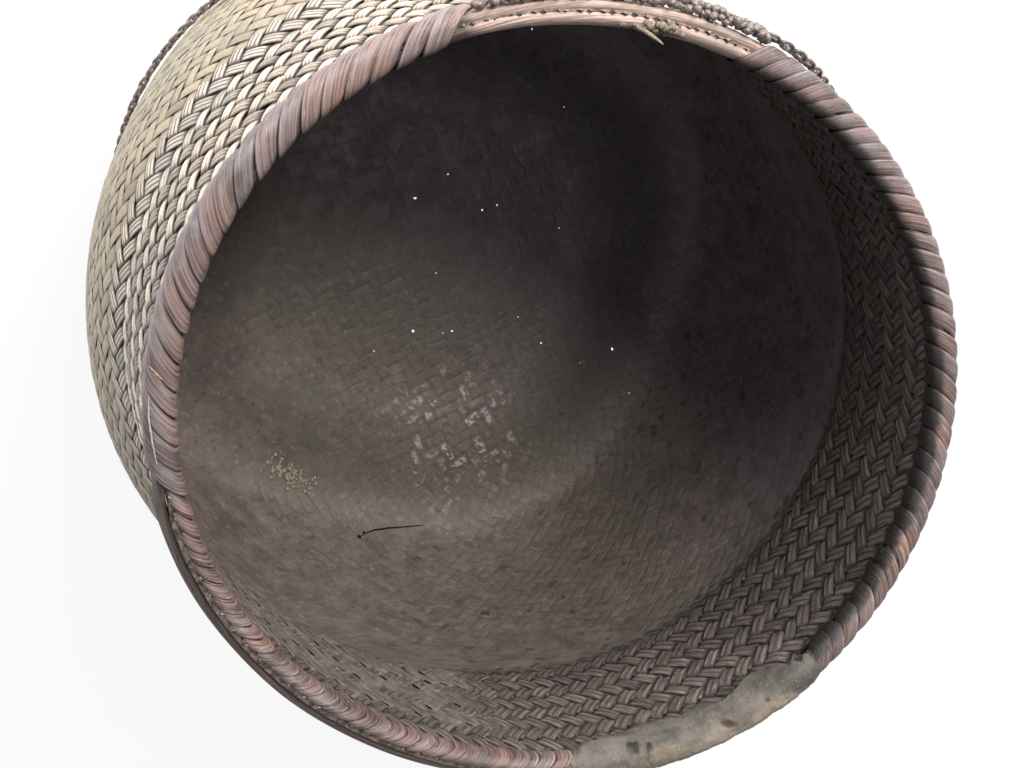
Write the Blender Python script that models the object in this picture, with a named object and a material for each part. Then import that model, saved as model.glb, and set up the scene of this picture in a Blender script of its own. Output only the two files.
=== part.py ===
"""A twill plaited basket with a bound rim, standing on its base with the mouth up.

The body is a loft: an oval mouth, a round belly and a rounded square base.
Two split cane hoops hold the cut ends of the plaiting, and a flat strip winds round them.
Part of the binding is lost, so the hoops lie bare there, and a coat of pitch mends one stretch.
A cord is slung under the belly and hitched up over the rim on one side.

Angles are in degrees, anticlockwise seen from above, from the long axis of the oval mouth.
A drop is a distance below the top of the rim.
"""

import math

import bmesh
import bpy
from mathutils import Vector

MM = 0.001

# Body
height = 184.0 * MM
neck_depth = 60.0 * MM
fold_radius = 107.5 * MM
belly_depth = 108.6 * MM
belly_radius = 118.8 * MM
base_radius = 82.0 * MM
wall = 2.4 * MM
row_height = 6.2 * MM
row_relief = 0.7 * MM
belly_roundness = 2.2
base_squareness = 2.9
base_turn = 12.0

# Rim
mouth_radius = 105.0 * MM
mouth_oval = 4.2 * MM
mouth_bulge = 2.8 * MM
bulge_angle = 335.0
bulge_power = 4
hoop_thickness = 1.9 * MM
hoop_corner = 0.5 * MM
outer_hoop_height = 8.6 * MM
inner_hoop_height = 5.2 * MM
lip_thickness = 1.4 * MM
lip_height = 6.7 * MM
seat_gap = 0.3 * MM

# Binding
strip_thickness = 0.55 * MM
strip_gap = 0.85 * MM
slant_start_share = 0.30
slant_end_share = 0.80
left_angles = (139.5, 214.0)
left_turns = 23
lower_left_angles = (221.0, 288.0)
lower_left_turns = 24
right_low_angles = (346.5, 400.0)
right_low_turns = 16
right_high_angles = (401.0, 454.5)
right_high_turns = 16

# Outer hoop where it has sprung off the rim
spring_angles = (214.8, 299.0)
spring_blend_angle = 6.0
spring_out = 1.7 * MM
spring_down = 2.0 * MM

# Pitch coat
coat_angles = (301.0, 344.5)
coat_thickness = 1.9 * MM
coat_outer_drop = 13.5 * MM
coat_inner_drop = 9.0 * MM
coat_crown = 0.8 * MM

# Cord, by hand along its route: each angle with its drop as a share of the belly's depth
cord_diameter = 3.0 * MM
cord_points = 80
cord_angles = (91.0, 110.0, 131.0, 137.5, 143.0, 149.0, 158.0, 170.0, 184.0, 200.0,
               240.0, 285.0, 330.0, 370.0, 386.0, 400.0, 412.0, 421.0, 427.0, 433.0)
cord_drop_shares = (0.046, 0.037, 0.055, 0.276, 0.60, 0.93, 1.17, 1.26, 1.36, 1.48,
                    1.53, 1.54, 1.53, 1.48, 1.36, 1.26, 1.17, 0.93, 0.60, 0.276)

# Facets
body_segments = 58
row_turn_shares = (0.0, 0.25, 0.5, 0.25)
hoop_segments = 72
shoulder_rings = 4
lower_rings = 9
strip_stations = 12
coat_stations = 15
cord_fine_steps = 8
sharp_angle = 35.0

# Rim places, from the outside of the binding inwards
outer_hoop_outer = mouth_radius - strip_thickness - seat_gap
outer_hoop_inner = outer_hoop_outer - hoop_thickness
lip_outer = outer_hoop_inner - seat_gap
lip_inner = lip_outer - lip_thickness
inner_hoop_outer = lip_inner - seat_gap
inner_hoop_inner = inner_hoop_outer - hoop_thickness
hoop_top = strip_thickness + seat_gap
outer_hoop_drop = hoop_top + outer_hoop_height
inner_hoop_drop = hoop_top + inner_hoop_height
lip_drop = hoop_top + lip_height
wall_top = outer_hoop_drop + seat_gap + strip_thickness + seat_gap
neck_radius = (lip_outer + lip_inner + wall) / 2


def blend(share):
    """Go smoothly from 0 to 1."""
    share = min(max(share, 0.0), 1.0)
    return share * share * (3 - 2 * share)


def oval(angle, drop):
    """How far the oval mouth and its bulge move the wall: fully on the neck, not at all at the belly."""
    fade = 1 - blend((drop - neck_depth) / (belly_depth - neck_depth))
    bulge = max(math.cos(math.radians(angle - bulge_angle)), 0.0) ** bulge_power
    return fade * (mouth_oval * math.cos(2 * math.radians(angle)) + mouth_bulge * bulge)


def square(angle, drop):
    """Scale of the radius that turns the round belly into a rounded square at the base."""
    depth_share = max(drop - belly_depth, 0.0) / (height - belly_depth)
    power = 2 + (base_squareness - 2) * depth_share ** 2
    turn = math.radians(angle - base_turn)
    return (abs(math.cos(turn)) ** power + abs(math.sin(turn)) ** power) ** (-1 / power)


def wall_radius(drop):
    """Mean outer radius of the body: a flaring neck, a shoulder and a full belly."""
    if drop <= neck_depth:
        return neck_radius + (fold_radius - neck_radius) * (drop - wall_top) / (neck_depth - wall_top)
    if drop <= belly_depth:
        turn = math.pi / 2 * (drop - neck_depth) / (belly_depth - neck_depth)
        return fold_radius + (belly_radius - fold_radius) * math.sin(turn)
    depth_share = min((drop - belly_depth) / (height - belly_depth), 1.0)
    return base_radius + (belly_radius - base_radius) * (
        (1 - depth_share ** belly_roundness) ** (1 / belly_roundness))


def at(angle, radius, drop):
    """Point at an angle, a mean radius and a drop, on the oval."""
    turn = math.radians(angle)
    reach = radius * square(angle, drop) + oval(angle, drop)
    return Vector((reach * math.cos(turn), reach * math.sin(turn), height - drop))


def material(name, colour, roughness):
    """A plain finish for one piece."""
    finish = bpy.data.materials.new(name)
    finish.use_nodes = True
    shader = finish.node_tree.nodes["Principled BSDF"]
    shader.inputs["Base Color"].default_value = (*colour, 1.0)
    shader.inputs["Roughness"].default_value = roughness
    shader.inputs["Metallic"].default_value = 0.0
    return finish


def add_object(name, mesh, finish):
    """Put a closed mesh in the scene, shaded smooth apart from its corners."""
    mesh.shade_smooth()
    mesh.set_sharp_from_angle(angle=math.radians(sharp_angle))
    mesh.materials.append(finish)
    piece = bpy.data.objects.new(name, mesh)
    bpy.context.scene.collection.objects.link(piece)
    return piece


def mesh_from_rings(name, rings, ring_closed, row_closed):
    """Skin a row of rings of points. Open ends of the row are filled, so the mesh is closed."""
    shape = bmesh.new()
    rows = [[shape.verts.new(point) for point in ring] for ring in rings]
    row_pairs = list(zip(rows, rows[1:] + rows[:1])) if row_closed else list(zip(rows, rows[1:]))
    for row, after in row_pairs:
        count = len(row) if ring_closed else len(row) - 1
        for place in range(count):
            following = (place + 1) % len(row)
            shape.faces.new((row[place], row[following], after[following], after[place]))
    if not row_closed:
        shape.faces.new(rows[0])
        shape.faces.new(rows[-1])
    bmesh.ops.recalc_face_normals(shape, faces=shape.faces)
    mesh = bpy.data.meshes.new(name)
    shape.to_mesh(mesh)
    shape.free()
    return mesh


def body_stations():
    """Down the wall from its top edge: drops, depth of the groove at each, and turn in segments.

    The strips of each row on the neck lean against those of the row above it.
    So every row turns its facets by half a segment, forth and back.
    """
    rows = max(round((neck_depth - wall_top) / row_height), 1)
    drops, dents, turns = [wall_top], [0.0], [0.0]
    for half_row in range(1, 2 * rows):
        drops.append(wall_top + (neck_depth - wall_top) * half_row / (2 * rows))
        dents.append(0.0 if half_row % 2 else row_relief)
        turns.append(row_turn_shares[half_row % 4])
    smooth_drops = [neck_depth + (belly_depth - neck_depth) * ring / shoulder_rings
                    for ring in range(shoulder_rings)]
    for ring in range(lower_rings + 1):
        share = math.sin(math.pi / 2 * ring / lower_rings)
        smooth_drops.append(belly_depth + (height - belly_depth) * share)
    drops += smooth_drops
    dents += [0.0] * len(smooth_drops)
    turns += [row_turn_shares[2 * rows % 4]] * len(smooth_drops)
    return drops, dents, turns


def offset_inwards(profile, distances):
    """The same profile moved inwards: level at the top edge, and straight up at the base."""
    inside = []
    for place, ((radius, drop), distance) in enumerate(zip(profile, distances)):
        if place == 0:
            across, down = -1.0, 0.0
        elif place == len(profile) - 1:
            across, down = 0.0, -1.0
        else:
            step = Vector(profile[place + 1]) - Vector(profile[place - 1])
            step.normalize()
            across, down = -step.y, step.x
        inside.append((radius + across * distance, drop + down * distance))
    return inside


def make_body():
    """The plaited wall and base in one piece: a closed shell, open at the mouth, with grooves between its rows."""
    drops, dents, turns = body_stations()
    smooth = [(wall_radius(drop), drop) for drop in drops]
    outside = offset_inwards(smooth, dents)
    inside = offset_inwards(smooth, [wall - dent for dent in dents])
    shape = bmesh.new()
    rings = []
    for (radius, drop), turn in zip(outside + inside[::-1], turns + turns[::-1]):
        angles = [360 * (step + turn) / body_segments for step in range(body_segments)]
        rings.append([shape.verts.new(at(angle, radius, drop)) for angle in angles])
    halves = (rings[:len(outside)], rings[len(outside):])
    pairs = [pair for half in halves for pair in zip(half, half[1:])] + [(rings[-1], rings[0])]
    for ring, after in pairs:
        for place in range(body_segments):
            following = (place + 1) % body_segments
            shape.faces.new((ring[place], ring[following], after[following], after[place]))
    shape.faces.new(halves[0][-1])
    shape.faces.new(halves[1][0])
    bmesh.ops.recalc_face_normals(shape, faces=shape.faces)
    mesh = bpy.data.meshes.new("woven_body")
    shape.to_mesh(mesh)
    shape.free()
    return add_object("woven_body", mesh, material("plaited_cane", (0.20, 0.175, 0.13), 0.7))


def make_ring(name, section, finish, shift=None):
    """Sweep a section of mean radius and drop round the mouth."""
    rings = []
    for step in range(hoop_segments):
        angle = 360 * step / hoop_segments
        out, down = shift(angle) if shift else (0.0, 0.0)
        rings.append([at(angle, radius + out, drop + down) for radius, drop in section])
    return add_object(name, mesh_from_rings(name, rings, True, True), finish)


def split_cane(flat_side, round_side, top, bottom):
    """Section of a split cane hoop: flat towards the lip, with both far corners eased."""
    eased = round_side - math.copysign(hoop_corner, round_side - flat_side)
    return ((flat_side, top), (eased, top), (round_side, top + hoop_corner),
            (round_side, bottom - hoop_corner), (eased, bottom), (flat_side, bottom))


def spring(angle):
    """Outward and downward shift of the outer hoop, where its binding is lost."""
    rise = blend((angle - spring_angles[0]) / spring_blend_angle)
    fall = blend((spring_angles[1] - angle) / spring_blend_angle)
    share = min(rise, fall)
    return share * spring_out, share * spring_down


def make_hoops_and_lip():
    """Two hoops with the cut strand ends standing between them."""
    cane = material("bare_cane", (0.35, 0.24, 0.19), 0.55)
    ends = material("strand_ends", (0.24, 0.20, 0.15), 0.75)
    make_ring("outer_hoop", split_cane(outer_hoop_inner, outer_hoop_outer, hoop_top, outer_hoop_drop),
              cane, spring)
    make_ring("inner_hoop", split_cane(inner_hoop_outer, inner_hoop_inner, hoop_top, inner_hoop_drop), cane)
    make_ring("strand_lip", ((lip_inner, hoop_top), (lip_outer, hoop_top), (lip_outer, lip_drop),
                             (lip_inner, lip_drop)), ends)


def full_core():
    """Outline round both hoops, as the binding meets it: up the outside, over and down the inside."""
    return ((outer_hoop_outer, outer_hoop_drop), (outer_hoop_outer, hoop_top),
            (inner_hoop_inner, hoop_top), (inner_hoop_inner, inner_hoop_drop),
            (outer_hoop_inner, outer_hoop_drop))


def inner_core():
    """Outline round the inner hoop and the lip alone."""
    return ((lip_outer, lip_drop), (lip_outer, hoop_top), (inner_hoop_inner, hoop_top),
            (inner_hoop_inner, inner_hoop_drop), (lip_inner, lip_drop))


def grow(outline, distance):
    """Offset a convex outline outwards, so each side moves by the same distance."""
    middle = sum((Vector(point) for point in outline), Vector((0.0, 0.0))) / len(outline)
    grown = []
    for place, point in enumerate(outline):
        corner = Vector(point)
        before = corner - Vector(outline[place - 1])
        after = Vector(outline[(place + 1) % len(outline)]) - corner
        normals = []
        for side in (before, after):
            normal = Vector((side.y, -side.x)).normalized()
            if normal.dot(corner - middle) < 0:
                normal.negate()
            normals.append(normal)
        spread = normals[0] + normals[1]
        grown.append(corner + spread * distance / (1 + normals[0].dot(normals[1])))
    return grown


def along(outline, count):
    """Points on a closed outline at even steps, which start from its last corner and keep all corners."""
    start = [outline[-1]] + list(outline)
    sides = [(Vector(b) - Vector(a)).length for a, b in zip(start, start[1:])]
    steps = [1] * len(sides)
    while sum(steps) < count:
        widest = max(range(len(sides)), key=lambda place: sides[place] / steps[place])
        steps[widest] += 1
    points = []
    travelled = 0.0
    for (a, b), length, parts in zip(zip(start, start[1:]), sides, steps):
        for part in range(parts):
            place = Vector(a).lerp(Vector(b), part / parts)
            points.append((place, (travelled + length * part / parts) / sum(sides)))
        travelled += length
    return points


def advance(share):
    """Progress of a turn along the rim: it slants over the top and runs straight underneath."""
    return blend((share - slant_start_share) / (slant_end_share - slant_start_share))


def least_gap(name, rows):
    """Print the least distance between one turn of a strip and the next."""
    least = min((near - far).length
                for row, after in zip(rows, rows[strip_stations:])
                for near in row[2:] for far in after[:2])
    print(f"{name}: least gap to itself {least / MM:.2f} mm")


def make_binding(name, core, angles, turns, finish):
    """One flat strip wound round the rim, as one unbroken length."""
    inside = along(grow(core, seat_gap), strip_stations)
    outside = along(grow(core, seat_gap + strip_thickness), strip_stations)
    stride = (angles[1] - angles[0]) / (turns + 1)
    half_width = (stride - math.degrees(strip_gap / mouth_radius)) / 2
    rows = []
    for turn in range(turns):
        for (near, share), (far, _) in zip(inside, outside):
            angle = angles[0] + stride * (0.5 + turn + advance(share))
            rows.append([at(angle - half_width, *near), at(angle - half_width, *far),
                         at(angle + half_width, *far), at(angle + half_width, *near)])
    least_gap(name, rows)
    return add_object(name, mesh_from_rings(name, rows, True, False), finish)


def make_bindings():
    """The four lengths of strip that are left on the rim."""
    broad = material("binding_strip", (0.30, 0.19, 0.15), 0.4)
    fine = material("fine_binding", (0.22, 0.14, 0.11), 0.4)
    make_binding("binding_left", full_core(), left_angles, left_turns, broad)
    make_binding("binding_lower_left", inner_core(), lower_left_angles, lower_left_turns, fine)
    make_binding("binding_right_low", full_core(), right_low_angles, right_low_turns, broad)
    make_binding("binding_right_high", full_core(), right_high_angles, right_high_turns, broad)


def make_pitch():
    """The coat of pitch over both hoops, thinning out to its two ends."""
    rows = []
    for step in range(coat_stations + 1):
        share = step / coat_stations
        angle = coat_angles[0] + (coat_angles[1] - coat_angles[0]) * share
        fullness = math.sin(math.pi * share) ** 0.5 if 0 < share < 1 else 0.0
        thick = strip_thickness + (coat_thickness - strip_thickness) * fullness
        crown = coat_crown * fullness
        outer_face = outer_hoop_outer + seat_gap
        inner_face = inner_hoop_inner - seat_gap
        under_top = hoop_top - seat_gap
        section = ((outer_face, coat_outer_drop), (outer_face, under_top), (inner_face, under_top),
                   (inner_face, coat_inner_drop), (inner_face - thick, coat_inner_drop),
                   (inner_face - thick, thick), (inner_face, -crown), (outer_face, -crown),
                   (outer_face + thick, thick), (outer_face + thick, coat_outer_drop))
        rows.append([at(angle, radius, drop) for radius, drop in section])
    mesh = mesh_from_rings("pitch_coat", rows, True, False)
    return add_object("pitch_coat", mesh, material("pitch", (0.13, 0.125, 0.10), 0.8))


def cord_place(position):
    """Angle and drop at a position along the route, counted in its points, on a smooth curve."""
    count = len(cord_angles)
    first = int(position) % count
    share = position - int(position)
    points = []
    for place in range(first - 1, first + 3):
        angle = cord_angles[place % count] + 360 * (place // count)
        points.append(Vector((angle, cord_drop_shares[place % count] * belly_depth)))
    before, start, end, after = points
    pull_start = (end - before) / 2
    pull_end = (after - start) / 2
    return (start * (1 + 2 * share) * (1 - share) ** 2 + pull_start * share * (1 - share) ** 2
            + end * share ** 2 * (3 - 2 * share) + pull_end * share ** 2 * (share - 1))


def cord_radius(drop):
    """Mean radius of the cord's middle: over the binding at the rim, then down onto the wall."""
    clear = seat_gap + cord_diameter / 2
    if drop >= neck_depth:
        slope = (wall_radius(drop + seat_gap) - wall_radius(drop - seat_gap)) / (2 * seat_gap)
        return wall_radius(drop) + clear * math.hypot(1.0, slope)
    share = blend((drop - wall_top) / (neck_depth - wall_top))
    return mouth_radius + (fold_radius - mouth_radius) * share + clear


def make_cord():
    """The cord, as one closed tube that lies on the basket all the way."""
    fine_count = cord_fine_steps * cord_points
    places = [cord_place(len(cord_angles) * step / fine_count) for step in range(fine_count)]
    fine = [at(angle, cord_radius(drop), drop) for angle, drop in places]
    lengths = [(b - a).length for a, b in zip(fine, fine[1:] + fine[:1])]
    stride = sum(lengths) / cord_points
    points = []
    travelled = 0.0
    for point, length in zip(fine, lengths):
        if travelled >= stride * len(points) and len(points) < cord_points:
            points.append(point)
        travelled += length
    print(f"cord: {sum(lengths) / MM:.0f} mm round the basket")
    curve = bpy.data.curves.new("carrying_cord", "CURVE")
    curve.dimensions = "3D"
    curve.bevel_depth = cord_diameter / 2
    curve.bevel_resolution = 1
    spline = curve.splines.new("POLY")
    spline.points.add(len(points) - 1)
    for knot, point in zip(spline.points, points):
        knot.co = (*point, 1.0)
    spline.use_cyclic_u = True
    curve.materials.append(material("bark_cord", (0.13, 0.10, 0.09), 0.6))
    piece = bpy.data.objects.new("carrying_cord", curve)
    bpy.context.scene.collection.objects.link(piece)
    return piece


def main():
    """Clear the scene and make every piece."""
    for piece in list(bpy.data.objects):
        bpy.data.objects.remove(piece, do_unlink=True)
    make_body()
    make_hoops_and_lip()
    make_bindings()
    make_pitch()
    make_cord()


main()
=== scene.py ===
"""The finished look of a twill plaited basket with a bound rim, seen into its mouth.

Every size is in metres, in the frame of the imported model, which stays as it is under this dressing.
Angles are anticlockwise seen from above, from the long axis of the oval mouth.
A drop is a distance below the top of the rim.
"""

import math
import random

import bmesh
import bpy
import numpy as np
from bpy.props import FloatProperty, FloatVectorProperty, IntProperty, PointerProperty
from bpy.types import Operator, Panel, PropertyGroup
from mathutils import Matrix, Vector, noise
from mathutils.bvhtree import BVHTree


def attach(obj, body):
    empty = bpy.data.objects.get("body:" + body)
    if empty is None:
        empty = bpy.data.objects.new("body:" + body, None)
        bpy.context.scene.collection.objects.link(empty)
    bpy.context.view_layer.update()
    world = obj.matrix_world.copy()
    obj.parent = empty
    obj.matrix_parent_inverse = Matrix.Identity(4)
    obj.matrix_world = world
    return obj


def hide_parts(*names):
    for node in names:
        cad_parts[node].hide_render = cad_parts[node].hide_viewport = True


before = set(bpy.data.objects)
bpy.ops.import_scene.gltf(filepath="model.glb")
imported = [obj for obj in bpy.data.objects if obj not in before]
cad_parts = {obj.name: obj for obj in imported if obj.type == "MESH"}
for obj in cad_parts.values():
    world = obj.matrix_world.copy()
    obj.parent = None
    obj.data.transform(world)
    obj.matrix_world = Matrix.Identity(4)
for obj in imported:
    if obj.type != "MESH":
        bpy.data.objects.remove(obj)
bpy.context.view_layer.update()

MM = 0.001

bl_info = {
    "name": "Plaited Basket",
    "version": (1, 0, 0),
    "blender": (4, 5, 0),
    "location": "View3D > Sidebar > Basket",
    "description": "Dresses the packed basket with its strips, rim, cord and finishes",
    "category": "Add Mesh",
}


# Sizes and colours a user would change

def size_of(name, description, metres):
    """A setting in metres."""
    return FloatProperty(name=name, description=description, default=metres, unit="LENGTH")


def angle_of(name, description, degrees):
    """A setting that is an angle."""
    return FloatProperty(name=name, description=description, default=math.radians(degrees), subtype="ANGLE")


def number_of(name, description, value, unit="NONE"):
    """A setting that is a plain number, or has a unit of its own."""
    return FloatProperty(name=name, description=description, default=value, unit=unit)


def count_of(name, description, value):
    """A setting in whole numbers."""
    return IntProperty(name=name, description=description, default=value)


def colour_of(name, description, colour):
    """A setting that is a colour."""
    return FloatVectorProperty(name=name, description=description, default=colour, subtype="COLOR")


class BasketShape(PropertyGroup):
    """The shape of the wall, as the solid model has it."""
    height: size_of("Height", "From the floor to the top of the rim", 0.184)
    neck_depth: size_of("Neck depth", "Drop of the fold under the neck", 0.060)
    belly_depth: size_of("Belly depth", "Drop of the widest place", 0.1086)
    neck_radius: size_of("Neck radius", "Outer radius of the wall under the rim", 0.10245)
    fold_radius: size_of("Fold radius", "Outer radius at the fold", 0.1075)
    belly_radius: size_of("Belly radius", "Outer radius at the widest place", 0.1188)
    base_radius: size_of("Base radius", "Outer radius at the base", 0.082)
    wall_top: size_of("Wall top", "Drop of the underside of the rim", 0.0106)
    mouth_radius: size_of("Mouth radius", "Outer radius of the bound rim", 0.105)
    mouth_oval: size_of("Mouth oval", "How far the oval moves the mouth", 0.0042)
    mouth_bulge: size_of("Mouth bulge", "How far one side of the mouth is pulled out", 0.0028)
    bulge_angle: angle_of("Bulge angle", "Where the mouth is pulled out", 335)
    bulge_power: count_of("Bulge power", "How narrow the bulge of the mouth is", 4)
    belly_roundness: number_of("Belly roundness", "Power of the curve under the belly", 2.2)
    base_squareness: number_of("Base squareness", "Power of the rounded square at the base", 2.9)
    base_turn: angle_of("Base turn", "Turn of the square base", 12)


class BasketPlaiting(PropertyGroup):
    """The strips of the plaiting."""
    strips: count_of("Strips", "Strips that lean each way round the wall, a multiple of four", 116)
    width: size_of("Strip width", "Width of one strip", 0.0042)
    first_crossing: number_of("First crossing", "Crossing of its twill at which the plaiting starts", 0.6)
    steepest: angle_of("Steepest lean", "Most that a strip leans from level", 51)
    neck_loft: size_of("Neck loft", "How far a strip rises over others in the neck", 0.00060)
    belly_loft: size_of("Belly loft", "How far a strip rises over others in the belly", 0.00034)
    neck_thickness: size_of("Neck strip thickness", "Thickness of a strip in the neck", 0.00068)
    belly_thickness: size_of("Belly strip thickness", "Thickness of a strip in the belly", 0.00042)
    ridge: size_of("Ridge height", "Height of the ridges along a neck strip", 0.00024)
    coat_level: size_of("Coat level", "Depth of grime over the middle of the plaiting inside", 0.00058)
    neck_coat: size_of("Neck coat", "Depth of grime over the patch inside the neck", 0.00080)
    corner_fill: size_of("Corner fill", "Depth of settled dirt in the corner of the base", 0.0042)


class BasketRim(PropertyGroup):
    """Hoops, binding, pitch and cord."""
    strip_thickness: size_of("Binding thickness", "Thickness of the binding strip", 0.00055)
    coat_thickness: size_of("Pitch thickness", "Thickness of the pitch coat", 0.0017)
    cord_thickness: size_of("Cord thickness", "Width across the looped cord", 0.0027)
    link_length: size_of("Link length", "Length of one loop of the cord", 0.0036)
    bead: size_of("Knot size", "Width of one knot on the rim", 0.0024)


class BasketFinish(PropertyGroup):
    """Main colours of the finishes."""
    strip_pale: colour_of("Worn strip", "Rubbed crests outside", (0.53, 0.46, 0.37))
    strip_dull: colour_of("Dull strip", "Strips outside", (0.26, 0.225, 0.182))
    strip_inside: colour_of("Inner strip", "Strips inside the neck", (0.176, 0.139, 0.126))
    grime: colour_of("Grime", "Coat inside the belly", (0.148, 0.125, 0.108))
    binding: colour_of("Binding", "Bound rim", (0.157, 0.121, 0.118))
    copper: colour_of("Rubbed binding", "Inner side of the binding", (0.30, 0.175, 0.13))
    cane: colour_of("Bare cane", "Hoops where they lie bare", (0.51, 0.37, 0.315))
    pitch: colour_of("Pitch", "Coat of pitch", (0.092, 0.082, 0.072))
    cord: colour_of("Cord", "Bark fibre cord", (0.125, 0.098, 0.09))


class BasketStage(PropertyGroup):
    """Floor, lamps and camera."""
    floor_size: size_of("Floor size", "Side of the floor", 6.0)
    lens: number_of("Lens", "Focal length on a sensor 36 mm wide", 45.7, "CAMERA")
    key_power: number_of("Key lamp", "Power of the lamp in front", 15.5, "POWER")
    top_power: number_of("Top lamp", "Power of the lamp above, to the right", 15.5, "POWER")
    fill_power: number_of("Fill lamp", "Power of the lamp above, to the left", 15.5, "POWER")
    world_strength: number_of("World", "Strength of the surrounding light", 0.26)


# Places round the basket, in degrees: where each thing starts and ends
LEFT_BINDING = (139.0, 214.6)
LOWER_LEFT_BINDING = (213.4, 303.0)
RIGHT_LOW_BINDING = (339.6, 401.3)
RIGHT_HIGH_BINDING = (399.0, 460.0)
PITCH_SPAN = (301.0, 344.5)
BARE_RIM = (97, 142)
SPRUNG_HOOP = (213, 299)
SPLAYED_ENDS = (215, 297)
NECK_PATCH = (214, 306)
# Span of the lower wall inside that is made lighter with dust and painted light
DUST_AND_LIGHT_SIDE = (195, 335)
# Side of the inside, in degrees, towards which the coat gets a painted bluish tint of shade
SHADED_SIDE = 80

# Middle of the rim's section: mean radius and drop
RIM_MIDDLE = (101.2 * MM, 6 * MM)


# The wall as a surface

def ease(share):
    """Go smoothly from 0 to 1."""
    share = np.clip(share, 0.0, 1.0)
    return share * share * (3 - 2 * share)


def within(degrees, span, rise, fall):
    """Go from 0 to 1 over the rise at the start of a span of angles, and back over the fall at its end."""
    return np.minimum(ease((degrees - span[0]) / rise), ease((span[1] - degrees) / fall))


def outer_radius(drop):
    """Mean outer radius of the wall."""
    shape = bpy.context.scene.basket_shape
    neck_share = np.clip(drop - shape.wall_top, 0, None) / (shape.neck_depth - shape.wall_top)
    neck = shape.neck_radius + (shape.fold_radius - shape.neck_radius) * neck_share
    shoulder_share = np.clip((drop - shape.neck_depth) / (shape.belly_depth - shape.neck_depth), 0, 1)
    swell = (shape.belly_radius - shape.fold_radius) * np.sin(np.pi / 2 * shoulder_share)
    shoulder = shape.fold_radius + swell
    lower_share = np.clip((drop - shape.belly_depth) / (shape.height - shape.belly_depth), 0, 1)
    curve = (1 - lower_share ** shape.belly_roundness) ** (1 / shape.belly_roundness)
    lower = shape.base_radius + (shape.belly_radius - shape.base_radius) * curve
    return np.where(drop <= shape.neck_depth, neck, np.where(drop <= shape.belly_depth, shoulder, lower))


def square_share(turn, power):
    """How far a rounded square reaches at a turn from its sides, as a share of its half width."""
    return (np.abs(np.cos(turn)) ** power + np.abs(np.sin(turn)) ** power) ** (-1 / power)


def stand(angle, radius, drop):
    """Points at angles in radians, mean radii and drops, on the oval mouth and the square base."""
    shape = bpy.context.scene.basket_shape
    fade = 1 - ease((drop - shape.neck_depth) / (shape.belly_depth - shape.neck_depth))
    depth_share = np.clip((drop - shape.belly_depth) / (shape.height - shape.belly_depth), 0, 1)
    power = 2 + (shape.base_squareness - 2) * depth_share ** 2
    square = square_share(angle - shape.base_turn, power)
    bulge = np.maximum(np.cos(angle - shape.bulge_angle), 0.0) ** shape.bulge_power
    reach = radius * square + fade * (shape.mouth_oval * np.cos(2 * angle) + shape.mouth_bulge * bulge)
    return np.stack((reach * np.cos(angle), reach * np.sin(angle), shape.height - drop), axis=-1)


class Wall:
    """The middle of the plaiting, by the length along it from the top of the rim down to the base."""

    def __init__(self):
        shape = bpy.context.scene.basket_shape
        plaiting = bpy.context.scene.basket_plaiting
        neck = np.linspace(0.5 * MM, shape.neck_depth, 110, endpoint=False)
        shoulder = np.linspace(shape.neck_depth, shape.belly_depth, 70, endpoint=False)
        under = shape.height - shape.belly_depth
        lower = shape.belly_depth + under * np.sin(np.linspace(0, np.pi / 2, 150))
        drop = np.concatenate((neck, shoulder, lower))
        radius = outer_radius(drop)
        self.plump = 1 - ease((drop - shape.neck_depth + 7 * MM) / (16 * MM))
        loft = plaiting.belly_loft + (plaiting.neck_loft - plaiting.belly_loft) * self.plump
        thicker = plaiting.neck_thickness - plaiting.belly_thickness
        thickness = plaiting.belly_thickness + thicker * self.plump
        skin = loft + thickness / 2 + plaiting.ridge * self.plump + 0.04 * MM
        across, down = np.gradient(radius), np.gradient(drop)
        length = np.hypot(across, down)
        self.out_radius, self.out_drop = down / length, -across / length
        self.out_radius[-1], self.out_drop[-1] = 0.0, 1.0
        self.radius = radius - self.out_radius * skin
        self.drop = drop - self.out_drop * skin
        self.path = np.concatenate(([0.0], np.cumsum(np.hypot(np.diff(self.radius), np.diff(self.drop)))))
        rise = plaiting.width * plaiting.strips / (2 * np.pi * self.radius)
        self.lean = np.arcsin(np.minimum(rise, math.sin(plaiting.steepest)))
        turn = 1 / (np.tan(self.lean) * self.radius)
        swing = np.concatenate(([0.0], np.cumsum((turn[1:] + turn[:-1]) / 2 * np.diff(self.path))))
        self.crossing = plaiting.first_crossing + plaiting.strips * swing / np.pi
        rim_fade = ease((drop - 8.5 * MM) / (5 * MM))
        self.loft = loft * (0.25 + 0.75 * rim_fade)
        self.thickness = thickness * (0.7 + 0.3 * rim_fade)
        self.last_crossing = self.crossing[-1]
        floor_radius = np.linspace(self.radius[-1], 0.0, 60)[1:]
        self.path = np.concatenate((self.path, self.path[-1] + self.radius[-1] - floor_radius))
        self.radius = np.concatenate((self.radius, floor_radius))
        self.drop = np.concatenate((self.drop, np.full(floor_radius.shape, self.drop[-1])))
        self.out_radius = np.concatenate((self.out_radius, np.zeros(floor_radius.shape)))
        self.out_drop = np.concatenate((self.out_drop, np.ones(floor_radius.shape)))

    def points(self, angle, path, lift):
        """Points on the wall, lifted outwards from the middle of the plaiting."""
        radius = np.interp(path, self.path, self.radius) + lift * np.interp(path, self.path, self.out_radius)
        drop = np.interp(path, self.path, self.drop) + lift * np.interp(path, self.path, self.out_drop)
        return stand(angle, radius, drop)

    def at_crossing(self, crossing, values):
        """A value of the wall where a strip reaches a crossing, counted from the rim."""
        return np.interp(crossing, self.crossing, values[:len(self.crossing)])


# Making meshes and pieces

def drop_selection():
    """Deselect everything, so that the next operator works on the new piece alone."""
    if bpy.context.object and bpy.context.object.mode != "OBJECT":
        bpy.ops.object.mode_set(mode="OBJECT")
    bpy.ops.object.select_all(action="DESELECT")


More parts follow.
